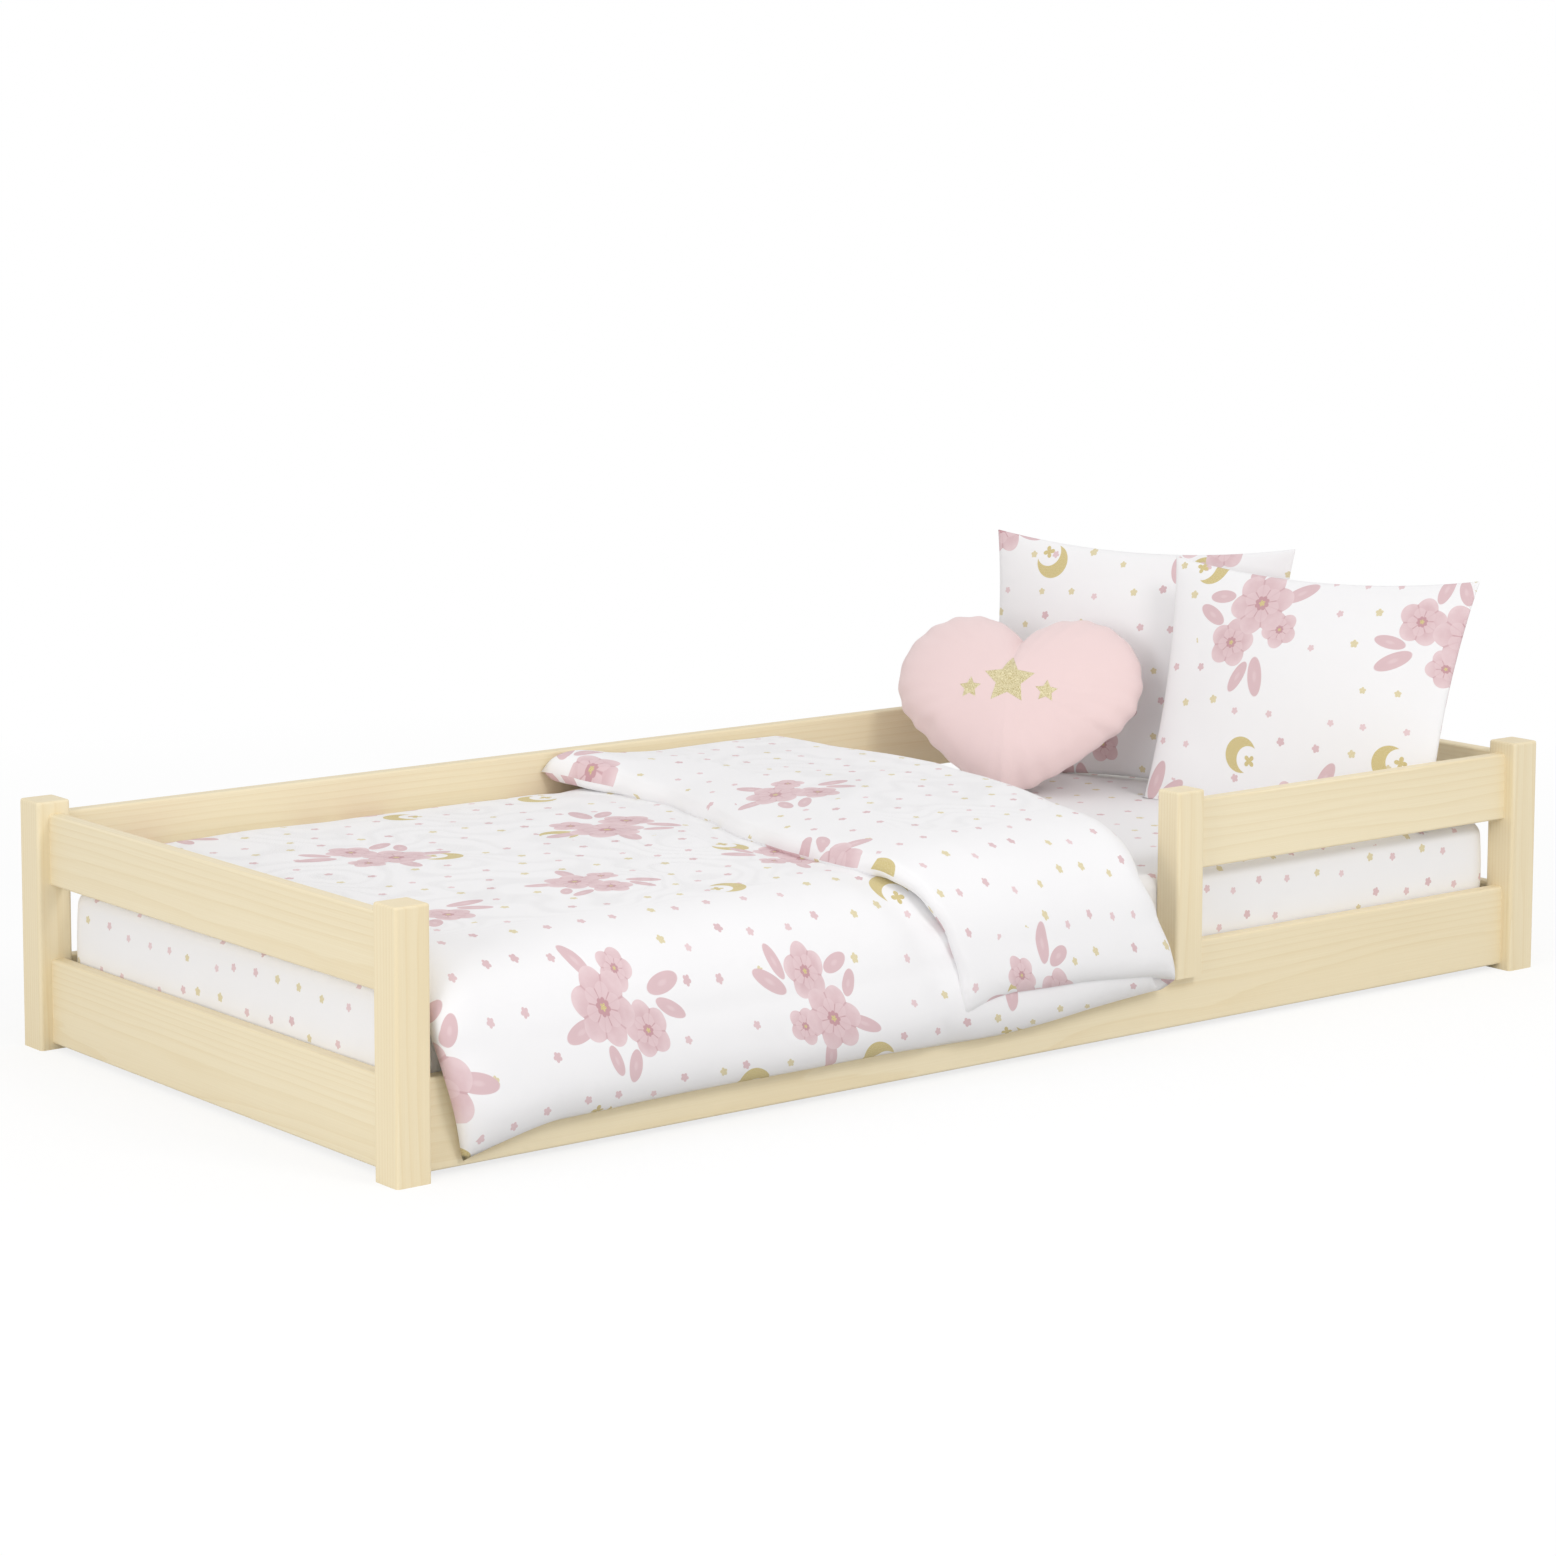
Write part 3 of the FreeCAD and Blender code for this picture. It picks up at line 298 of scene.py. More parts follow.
def pine_group():
    """Straight-grained pine whose grain runs along X."""
    if "pine_grain" in bpy.data.node_groups:
        return bpy.data.node_groups["pine_grain"]
    group, w, given, out = new_group(
        "pine_grain",
        [("Place", "Vector"), ("Pale", "Color"), ("Dark", "Color"), ("Ring", "Float")],
        [("Color", "Color"), ("Roughness", "Float"), ("Height", "Float")],
    )
    place = given["Place"]
    slow = w.noise(w.vector("MULTIPLY", place, (1.1, 9.0, 9.0)), 1.0, 2.0)
    fast = w.noise(w.vector("MULTIPLY", place, (3.5, 42.0, 42.0)), 1.0, 3.0)
    y, z = w.split(place)[1:]
    bent = w.times(w.minus(slow, 0.5), 0.03)
    radius = w.length(0.0, w.plus(y, bent), w.plus(z, bent))
    years = w.over(w.plus(radius, w.times(fast, 0.0035)), given["Ring"])
    year = w.math("FRACT", years)
    # the late wood darkens slowly through each year and ends sharply
    late = w.math("POWER", year, 3.2)
    late = w.times(late, w.minus(1.0, w.math("POWER", year, 40.0)))
    fibre = w.noise(w.vector("MULTIPLY", place, (6.0, 900.0, 900.0)), 1.0, 3.0, 0.6)
    broad = w.noise(w.vector("MULTIPLY", place, (0.9, 5.0, 5.0)), 1.0, 1.0)
    streak = w.times(w.minus(fibre, 0.5), 0.55)
    share = w.plus(w.times(late, 0.34), streak)
    share = w.plus(share, w.times(w.minus(broad, 0.3), 0.8), clamp=True)
    w.put(out["Color"], w.mix(share, given["Pale"], given["Dark"]))
    w.put(out["Roughness"], w.plus(0.46, w.times(fibre, 0.14)))
    w.put(out["Height"], w.minus(w.times(fibre, 0.6), w.times(late, 0.4)))
    return group


def weave_group():
    """Plain-woven cotton: threads over and under, and the small creases of washed cloth."""
    if "cotton_weave" in bpy.data.node_groups:
        return bpy.data.node_groups["cotton_weave"]
    group, w, given, out = new_group(
        "cotton_weave", [("Place", "Vector"), ("Thread", "Float"), ("Crease", "Float")], [("Height", "Float")]
    )
    turns = w.vector("SCALE", given["Place"], scale=w.over(math.tau, given["Thread"]))
    x, y, z = w.split(turns)
    warp = w.times(w.math("SINE", x), w.math("COSINE", y))
    weft = w.times(w.math("COSINE", z), w.math("SINE", w.plus(x, y)))
    threads = w.times(w.plus(warp, weft), 0.06)
    creases = w.noise(given["Place"], 26.0, 4.0, 0.55)
    w.put(out["Height"], w.plus(threads, w.times(creases, given["Crease"])))
    return group


def cell(w, x, y, pitch, jitter):
    """The point's place in its cell of a shifted grid, and the cell's random numbers."""
    row = w.math("FLOOR", w.over(y, pitch))
    shifted = w.plus(w.over(x, pitch), w.times(row, 0.5))
    column = w.math("FLOOR", shifted)
    chance = w.node("ShaderNodeTexWhiteNoise", {"noise_dimensions": "3D"})
    w.put(chance.inputs[0], w.join(column, row, 3.7))
    first, second, third = w.split(chance.outputs["Color"])
    across = w.minus(w.math("FRACT", shifted), 0.5)
    along = w.minus(w.math("FRACT", w.over(y, pitch)), 0.5)
    across = w.minus(across, w.times(w.minus(first, 0.5), jitter))
    along = w.minus(along, w.times(w.minus(second, 0.5), jitter))
    return w.times(across, pitch), w.times(along, pitch), first, second, third


def flower(w, x, y, reach, petals, depth, turn):
    """How far inside a flower with round petals a point lies: 1 inside, 0 outside."""
    angle = w.plus(w.math("ARCTAN2", y, x), turn)
    lobes = w.math("ABSOLUTE", w.math("COSINE", w.times(angle, petals / 2)))
    edge = w.times(w.plus(1 - depth, w.times(lobes, depth)), reach)
    return w.inside(w.length(x, y), edge), lobes


def bloom(w, x, y, ground, pink, rose, gold, at, reach, petals, turn):
    """Paints one flower of two rounds of petals over the ground; also tells where it is."""
    x, y = w.minus(x, at[0]), w.minus(y, at[1])
    outer, outer_lobes = flower(w, x, y, reach, petals, 0.24, turn)
    inner, inner_lobes = flower(w, x, y, 0.6 * reach, petals, 0.26, turn + math.pi / petals)
    centre = flower(w, x, y, 0.24 * reach, 8, 0.2, turn)[0]
    seeds = flower(w, x, y, 0.11 * reach, 5, 0.45, turn)[0]
    far = w.over(w.length(x, y), reach)
    deep = w.times(w.minus(1.0, far), 0.75)
    watered = w.noise(w.join(x, y, reach), 70.0, 3.0)
    deep = w.plus(deep, w.times(w.minus(watered, 0.5), 0.6), clamp=True)
    petal = w.mix(deep, pink, rose)
    petal = w.mix(w.times(w.inside(outer_lobes, 0.16, 0.1), 0.55), petal, rose)
    second = w.mix(w.times(w.inside(inner_lobes, 0.2, 0.14), 0.8), w.mix(0.55, petal, pink), rose)
    colour = w.mix(inner, petal, second)
    colour = w.mix(centre, colour, rose)
    colour = w.mix(seeds, colour, gold)
    return w.mix(outer, ground, colour), outer


def print_group():
    """The bedding's print: pink bunches of flowers, gold moons and small blossoms on white."""
    if "nursery_print" in bpy.data.node_groups:
        return bpy.data.node_groups["nursery_print"]
    group, w, given, out = new_group(
        "nursery_print",
        [
            ("Place", "Vector"), ("Bunches up to", "Float"), ("Ground", "Color"), ("Pink", "Color"),
            ("Rose", "Color"), ("Gold", "Color"), ("Motif pitch", "Float"), ("Dot pitch", "Float"),
        ],
        [("Color", "Color")],
    )
    x, y = w.split(given["Place"])[:2]
    pink, rose = given["Pink"], given["Rose"]
    glitter = w.noise(given["Place"], 1100.0, 2.0, 0.8)
    glitter = w.times(w.minus(glitter, 0.4), 4.0, clamp=True)
    dull_gold = w.mix(0.25, given["Gold"], (0.4, 0.3, 0.1))
    gold = w.mix(glitter, dull_gold, w.mix(0.3, given["Gold"], (1, 0.95, 0.75)))
    # small blossoms
    dx, dy, first, second, third = cell(w, x, y, given["Dot pitch"], 0.4)
    blossom = flower(w, dx, dy, w.plus(0.0046, w.times(second, 0.0014)), 5, 0.3, first)[0]
    blossom = w.times(blossom, w.math("GREATER_THAN", third, 0.1))
    is_gold = w.math("GREATER_THAN", first, 0.64)
    spot = w.mix(is_gold, w.mix(w.times(second, 0.4), pink, rose), w.mix(0.25, gold, (1, 0.98, 0.9)))
    # bunches: three flowers and their leaves
    fx, fy, first, second, third = cell(w, x, y, given["Motif pitch"], 0.22)
    shown = w.math("LESS_THAN", w.minus(x, fx), given["Bunches up to"])
    fx, fy = w.turned(fx, fy, w.times(third, math.tau))
    size = w.plus(0.9, w.times(first, 0.25))
    fx, fy = w.over(fx, size), w.over(fy, size)
    clear = w.times(w.inside(w.length(fx, fy), 0.078), shown)
    colour = w.mix(w.times(blossom, w.minus(1.0, clear)), given["Ground"], spot)
    leaves = None
    for at_x, at_y, long, wide, tilt in (
        (0.058, 0.034, 0.024, 0.0095, -0.5),
        (0.066, 0.012, 0.02, 0.008, 0.15),
        (-0.053, -0.033, 0.024, 0.0095, -0.6),
        (-0.05, 0.036, 0.022, 0.009, 0.75),
        (0.012, -0.058, 0.0085, 0.02, 0.25),
        (-0.012, -0.056, 0.008, 0.017, -0.35),
    ):
        leaf = w.oval(fx, fy, at_x, at_y, long, wide, tilt)
        leaves = leaf if leaves is None else w.math("MINIMUM", leaves, leaf)
    on_leaf = w.times(w.inside(leaves, 1.0, 0.06), shown)
    leaf_colour = w.mix(w.times(w.inside(leaves, 0.35, 0.2), 0.6), w.mix(0.35, pink, rose), pink)
    colour = w.mix(on_leaf, colour, leaf_colour)
    taken = on_leaf
    for at, reach, petals, turn in (
        ((0.033, -0.016), 0.03, 5, 0.5), ((-0.002, 0.036), 0.023, 5, 1.1), ((-0.022, -0.004), 0.04, 6, 0.0)
    ):
        painted, covered = bloom(w, fx, fy, colour, pink, rose, gold, at, reach, petals, turn)
        colour = w.mix(shown, colour, painted)
        taken = w.math("MAXIMUM", taken, w.times(covered, shown))
    # gold moons, each with a spark
    mx, my, first, second, third = cell(
        w, w.plus(x, 0.093), w.plus(y, 0.071), w.times(given["Motif pitch"], 0.72), 0.35
    )
    kept = w.math("LESS_THAN", w.minus(x, mx), given["Bunches up to"])
    kept = w.times(kept, w.math("GREATER_THAN", first, 0.4))
    mx, my = w.turned(mx, my, w.times(third, 5.0))
    disc = w.inside(w.length(mx, my), 0.0225)
    bite = w.inside(w.length(w.minus(mx, 0.012), w.minus(my, 0.004)), 0.0172)
    moon = w.times(disc, w.minus(1.0, bite))
    spark = flower(w, w.minus(mx, 0.014), w.minus(my, 0.004), 0.0085, 4, 0.6, 0.0)[0]
    moon = w.times(w.math("MAXIMUM", moon, spark), kept)
    moon = w.times(moon, w.minus(1.0, taken))
    w.put(out["Color"], w.mix(moon, colour, gold))
    return group


def star_group():
    """A five-pointed gold star with a small one on each side, round the origin of the XZ plane."""
    if "gold_stars" in bpy.data.node_groups:
        return bpy.data.node_groups["gold_stars"]
    group, w, given, out = new_group(
        "gold_stars", [("Place", "Vector"), ("Cloth", "Color"), ("Gold", "Color")],
        [("Color", "Color"), ("Mask", "Float"), ("Height", "Float")],
    )
    x, y, z = w.split(given["Place"])
    mask = None
    for at_x, at_z, reach in ((0.0, 0.0, 0.035), (-0.05, -0.012, 0.0155), (0.05, -0.012, 0.0155)):
        across, along = w.minus(x, at_x), w.minus(z, at_z)
        turn = w.plus(w.math("ARCTAN2", across, along), math.pi)
        fold = w.math("ABSOLUTE", w.minus(w.math("MODULO", turn, math.tau / 5), math.pi / 5))
        far = w.length(across, along)
        px, py = w.times(far, w.math("COSINE", fold)), w.times(far, w.math("SINE", fold))
        waist = 0.5 * reach
        edge_x, edge_y = waist * math.cos(math.pi / 5) - reach, waist * math.sin(math.pi / 5)
        side = w.minus(w.times(py, edge_x / reach), w.times(w.minus(px, reach), edge_y / reach))
        star = w.inside(w.times(side, -1.0), 0.0, 0.0003)
        mask = star if mask is None else w.math("MAXIMUM", mask, star)
    # only on the side that faces -Y
    mask = w.times(mask, w.math("LESS_THAN", y, 0.0))
    grains = w.node("ShaderNodeTexVoronoi", Scale=1400.0)
    w.put(grains.inputs["Vector"], given["Place"])
    sparkle = w.split(grains.outputs["Color"])[0]
    bright = w.mix(sparkle, w.mix(0.35, given["Gold"], (0.3, 0.23, 0.08)), (0.93, 0.86, 0.6))
    w.put(out["Color"], w.mix(mask, given["Cloth"], bright))
    w.put(out["Mask"], mask)
    w.put(out["Height"], w.times(mask, w.plus(0.6, w.times(sparkle, 0.4))))
    return group


def fresh_wires(owner):
    """Wires in the emptied node tree of a material or a world."""
    owner.use_nodes = True
    owner.node_tree.nodes.clear()
    return Wires(owner.node_tree)


def new_material(name):
    """A material with one Principled shader, its wires and the shader."""
    material = bpy.data.materials.new(name)
    wires = fresh_wires(material)
    shader = wires.node("ShaderNodeBsdfPrincipled")
    output = wires.node("ShaderNodeOutputMaterial")
    material.node_tree.links.new(shader.outputs[0], output.inputs[0])
    return material, wires, shader


def grouped(wires, group, **inputs):
    """A node that uses a group; an underscore in an input's name stands for a space."""
    node = wires.node("ShaderNodeGroup")
    node.node_tree = group
    for key, given in inputs.items():
        wires.put(node.inputs[key.replace("_", " ")], given)
    return node


def bump(wires, shader, height, distance, strength=1.0):
    node = wires.node("ShaderNodeBump", Strength=strength, Distance=distance)
    wires.put(node.inputs["Height"], height)
    wires.put(shader.inputs["Normal"], node.outputs[0])


def cloth_finish(shader, roughness=0.88, sheen=0.12):
    """The soft shine of cotton."""
    shader.inputs["Roughness"].default_value = roughness
    shader.inputs["Sheen Weight"].default_value = sheen
    shader.inputs["Sheen Roughness"].default_value = 0.5
    shader.inputs["IOR"].default_value = 1.35


def pine_material(name, direction, pith, lightness=1.0):
    """Pine whose grain runs in a direction; pith is where the log's middle lies beside the board."""
    material, w, shader = new_material(name)
    turn = {"X": (0, 0, 0), "Y": (0, 0, -math.pi / 2), "Z": (0, math.pi / 2, 0)}[direction]
    place = w.mapped(w.object_place(), "POINT", pith, turn)
    timber = bpy.context.scene.bed_timber
    pale = (*(lightness * share for share in timber.pale), 1)
    dark = (*(lightness * share for share in timber.dark), 1)
    grain = grouped(w, pine_group(), Place=place, Pale=pale, Dark=dark, Ring=timber.ring)
    w.put(shader.inputs["Base Color"], grain.outputs["Color"])
    w.put(shader.inputs["Roughness"], grain.outputs["Roughness"])
    bump(w, shader, grain.outputs["Height"], 0.0002, 0.5)
    shader.inputs["Coat Weight"].default_value = 0.12
    shader.inputs["Coat Roughness"].default_value = 0.35
    shader.inputs["IOR"].default_value = 1.42
    return material


def metal_material(name, colour, roughness):
    material, w, shader = new_material(name)
    place = w.object_place()
    dull = w.noise(place, 320.0, 3.0)
    shade = w.mix(dull, tuple(0.82 * share for share in colour), colour)
    w.put(shader.inputs["Base Color"], shade)
    w.put(shader.inputs["Roughness"], w.plus(roughness, w.times(dull, 0.18)))
    shader.inputs["Metallic"].default_value = 1.0
    bump(w, shader, dull, 0.0001, 0.3)
    return material


def print_inputs():
    design = bpy.context.scene.bed_print
    return {
        "Ground": (*design.ground, 1), "Pink": (*design.pink, 1), "Rose": (*design.rose, 1),
        "Gold": (*design.gold, 1), "Motif_pitch": design.motif_pitch, "Dot_pitch": design.dot_pitch,
    }


def printed_cotton(name, place_of, bunches_up_to=100.0, thread=0.0007, crease=0.5):
    """Printed cotton: place_of wires a place on the flat cloth, and bunches end at a length along it."""
    material, w, shader = new_material(name)
    place = w.object_place()
    flat = place_of(w, place)
    design = grouped(w, print_group(), Place=flat, Bunches_up_to=bunches_up_to, **print_inputs())
    w.put(shader.inputs["Base Color"], design.outputs["Color"])
    weave = grouped(w, weave_group(), Place=place, Thread=thread, Crease=crease)
    bump(w, shader, weave.outputs["Height"], 0.0011, 0.55)
    cloth_finish(shader)
    return material


# ---------------------------------------------------------------- making meshes


def deselect():
    if bpy.context.object and bpy.context.object.mode != "OBJECT":
        bpy.ops.object.mode_set(mode="OBJECT")
    bpy.ops.object.select_all(action="DESELECT")


def activate(piece):
    deselect()
    piece.select_set(True)
    bpy.context.view_layer.objects.active = piece


def mesh_piece(name, points, faces):
    """A new piece from points and faces, shaded smooth, with its faces outwards."""
    mesh = bpy.data.meshes.new(name)
    mesh.from_pydata([tuple(point) for point in points], [], faces)
    mesh.update()
    piece = bpy.data.objects.new(name, mesh)
    bpy.context.scene.collection.objects.link(piece)
    activate(piece)
    bpy.ops.object.mode_set(mode="EDIT")
    bpy.ops.mesh.select_all(action="SELECT")
    bpy.ops.mesh.remove_doubles(threshold=1e-6)
    bpy.ops.mesh.normals_make_consistent(inside=False)
    bpy.ops.object.mode_set(mode="OBJECT")
    bpy.ops.object.shade_smooth()
    return piece


def stuffed_grid(columns, rows, spot):
    """Points and faces of two grids sewn together along their rim; spot gives a point from (u, v, side)."""
    points, faces = [], []
    index = {}
    for side in (1, -1):
        for i in range(columns + 1):
            for j in range(rows + 1):
                rim = i in (0, columns) or j in (0, rows)
                if side == -1 and rim:
                    index[side, i, j] = index[1, i, j]
                    continue
                index[side, i, j] = len(points)
                points.append(spot(2 * i / columns - 1, 2 * j / rows - 1, 0 if rim else side))
        for i in range(columns):
            for j in range(rows):
                corners = ((i, j), (i + 1, j), (i + 1, j + 1), (i, j + 1))
                face = [index[(side, *corner)] for corner in corners]
                faces.append(face if side == 1 else face[::-1])
    return points, faces


def between(stops, at):
    """A value read off a line through (place, value) stops, smoothed at each."""
    if at <= stops[0][0]:
        return stops[0][1]
    for (start, low), (end, high) in zip(stops, stops[1:]):
        if at <= end:
            share = (at - start) / (end - start)
            return low + (high - low) * (0.5 * share + 0.5 * share * share * (3 - 2 * share))
    return stops[-1][1]


def puff(piece, pressure, frames, cap, fullness, stiffness=12.0):
    """Fills a sewn cover with air by cloth simulation.

    A point moves no further than the cap, which fullness lessens towards the seams to keep them sharp.
    """
    activate(piece)
    start = [point.co.copy() for point in piece.data.vertices]
    cloth = piece.modifiers.new("filling", "CLOTH")
    settings = cloth.settings
    settings.quality = 4
    settings.mass = 0.25
    settings.tension_stiffness = stiffness
    settings.compression_stiffness = stiffness
    settings.shear_stiffness = stiffness / 2
    settings.bending_stiffness = 0.15
    settings.use_pressure = True
    settings.uniform_pressure_force = pressure
    settings.effector_weights.gravity = 0
    settings.air_damping = 2.0
    cloth.point_cache.frame_start = 1
    cloth.point_cache.frame_end = frames
    scene = bpy.context.scene
    for number in range(1, frames + 1):
        scene.frame_set(number)
    settled = piece.evaluated_get(bpy.context.evaluated_depsgraph_get()).data
    moves = [point.co - start[i] for i, point in enumerate(settled.vertices)]
    piece.modifiers.remove(cloth)
    for i, move in enumerate(moves):
        limit = cap * fullness(start[i], i)
        if move.length > limit:
            move = move * (limit / move.length)
        piece.data.vertices[i].co = start[i] + move
    piece.data.update()
    scene.frame_set(1)


def by_thickness(point, index):
    """How full a cover lying in the XZ plane is at a point: 0 at the seam, 1 where it is thick."""
    return min(1, abs(point.y) / 0.03)


def subdivide(piece, levels=1):
    modifier = piece.modifiers.new("rounding", "SUBSURF")
    modifier.levels = modifier.render_levels = levels
    activate(piece)
    bpy.ops.object.modifier_apply(modifier=modifier.name)


def ripple(point, scale, seed):
    """Gentle unevenness from -1 to 1."""
    x, y, z = point
    return noise.noise(Vector((x * scale + seed, y * scale - seed, z * scale + 2 * seed)))


# ---------------------------------------------------------------- timber and hardware


class BED_OT_finish_timber(bpy.types.Operator):
    """Give each board, post and slat its own piece of pine, and the hardware its metal"""

    bl_idname = "bed.finish_timber"
    bl_label = "Finish timber"

    def execute(self, context):
        upright = ("foot_post_front", "foot_post_back", "head_post_front", "head_post_back", "guard_post")
        crosswise = ("foot_lower_rail", "foot_upper_rail", "head_lower_rail", "head_upper_rail")
        lengthwise = (
            "front_lower_rail", "back_lower_rail", "back_upper_rail", "guard_rail",
            "front_ledger", "back_ledger",
        )
        slats = sorted(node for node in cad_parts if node.startswith("slat_") and node[5:].isdigit())
        boards = [
            (node, direction)
            for direction, nodes in (("Z", upright), ("Y", crosswise), ("X", lengthwise), ("Y", slats))
            for node in nodes
        ]
        for order, (node, direction) in enumerate(boards):
            low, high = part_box(node)
            middle = (low + high) / 2
            away = 0.07 + 0.013 * (order * 7 % 5)
            shade = 1 - 0.012 * (order * 5 % 4)
            # the mapping turns the board's grain onto X, then brings the log's middle beside it
            turned = {
                "X": Vector((0, -middle.y - away, -middle.z + away / 3)),
                "Y": Vector((0, middle.x - away, -middle.z + away / 3)),
                "Z": Vector((0, -middle.y - away, middle.x + away / 3)),
            }[direction]
            turned.x = 1.7 * order
            self.dress(node, pine_material(f"pine_{node}", direction, turned, shade))
        self.dress("rail_dowels", pine_material("beech_dowels", "X", (0, 0.02, 0.02), 0.72))
        zinc = metal_material("cast_zinc", linear(176, 178, 180), 0.42)
        plated = metal_material("plated_steel", linear(200, 198, 190), 0.3)
        for node in ("cam_bolts", "cam_locks"):
            self.dress(node, zinc)
        for node in ("ledger_screws", "slat_screws", "guard_post_screws"):
            self.dress(node, plated)
        return {"FINISHED"}

    def dress(self, node, material):
        """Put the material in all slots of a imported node."""
        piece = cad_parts[node]
        if piece.data.materials:
            for slot in range(len(piece.data.materials)):
                piece.data.materials[slot] = material
        else:
            piece.data.materials.append(material)


# ---------------------------------------------------------------- mattress and fitted sheet


class BED_OT_make_mattress(bpy.types.Operator):
    """Make the foam mattress in its knitted cover, with a border seam above and below"""

    bl_idname = "bed.make_mattress"
    bl_label = "Make mattress"

    corner_radius = 0.038
    edge_radius = 0.016

    def execute(self, context):
        deselect()
        middle = (MATTRESS_LOW + MATTRESS_HIGH) / 2
        size = MATTRESS_HIGH - MATTRESS_LOW
        bpy.ops.mesh.primitive_cube_add(size=1, location=middle, scale=size)
        piece = context.object
        piece.name = "mattress_in_cover"
        bpy.ops.object.transform_apply(location=True, rotation=True, scale=True)
        self.bevel(piece, lambda first, second: abs(first.z - second.z) > 0.1, self.corner_radius, 8)
        self.bevel(piece, self.on_a_face, self.edge_radius, 5)
        bpy.ops.object.mode_set(mode="EDIT")
        bpy.ops.mesh.select_mode(type="FACE")
        bpy.ops.mesh.select_all(action="DESELECT")
        bpy.ops.object.mode_set(mode="OBJECT")
        for face in piece.data.polygons:
            face.select = abs(face.normal.z) > 0.99
        bpy.ops.object.mode_set(mode="EDIT")
        # a margin, then the border seam's groove and the panel inside it
        bpy.ops.mesh.inset(thickness=0.006)
        bpy.ops.mesh.inset(thickness=0.003, depth=-0.002)
        bpy.ops.mesh.inset(thickness=0.004, depth=0.002)
        bpy.ops.object.mode_set(mode="OBJECT")
        bpy.ops.object.shade_smooth_by_angle(angle=math.radians(40))
        material, w, shader = new_material("knitted_cover")
        place = w.object_place()
        quilt = w.node("ShaderNodeTexVoronoi", {"feature": "SMOOTH_F1"}, Scale=34.0, Smoothness=0.4)
        w.put(quilt.inputs["Vector"], place)
        shade = w.mix(quilt.outputs["Distance"], linear(238, 237, 233), linear(224, 222, 217))
        w.put(shader.inputs["Base Color"], shade)
        weave = grouped(w, weave_group(), Place=place, Thread=0.0016, Crease=0.2)
        height = w.plus(weave.outputs["Height"], w.times(quilt.outputs["Distance"], 0.8))
        bump(w, shader, height, 0.0015, 0.7)
        cloth_finish(shader, 0.92)
        piece.data.materials.append(material)
        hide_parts("mattress")
        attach(piece, "mattress_body")
        return {"FINISHED"}

    def on_a_face(self, first, second):
        """Whether an edge lies round the upper or the lower face."""
        level = abs(first.z - second.z) < 1e-5
        return level and (abs(first.z - MATTRESS_LOW.z) < 1e-5 or abs(first.z - MATTRESS_HIGH.z) < 1e-5)

    def bevel(self, piece, wanted, offset, segments):
        """Round the edges that wanted picks by their two ends."""
        bpy.ops.object.mode_set(mode="EDIT")
        bpy.ops.mesh.select_mode(type="EDGE")
        bpy.ops.mesh.select_all(action="DESELECT")
        bpy.ops.object.mode_set(mode="OBJECT")
        for edge in piece.data.edges:
            first, second = (piece.data.vertices[i].co for i in edge.vertices)
            edge.select = wanted(first, second)
        bpy.ops.object.mode_set(mode="EDIT")
        bpy.ops.mesh.bevel(offset=offset, segments=segments, affect="EDGES")
        bpy.ops.object.mode_set(mode="OBJECT")


def side_coordinates(w, place):
    """A place on cloth that lies flat on top and turns down at the sides."""
    normal = w.node("ShaderNodeTexCoord").outputs["Normal"]
    nx, ny, nz = (w.math("ABSOLUTE", part) for part in w.split(normal))
    x, y, z = w.split(place)
    on_top = w.math("GREATER_THAN", nz, 0.6)
    on_end = w.math("GREATER_THAN", nx, ny)
    side_x = w.mix(on_end, w.join(x, z), w.join(w.plus(y, 0.013), z))
    return w.mix(on_top, side_x, w.join(x, y))


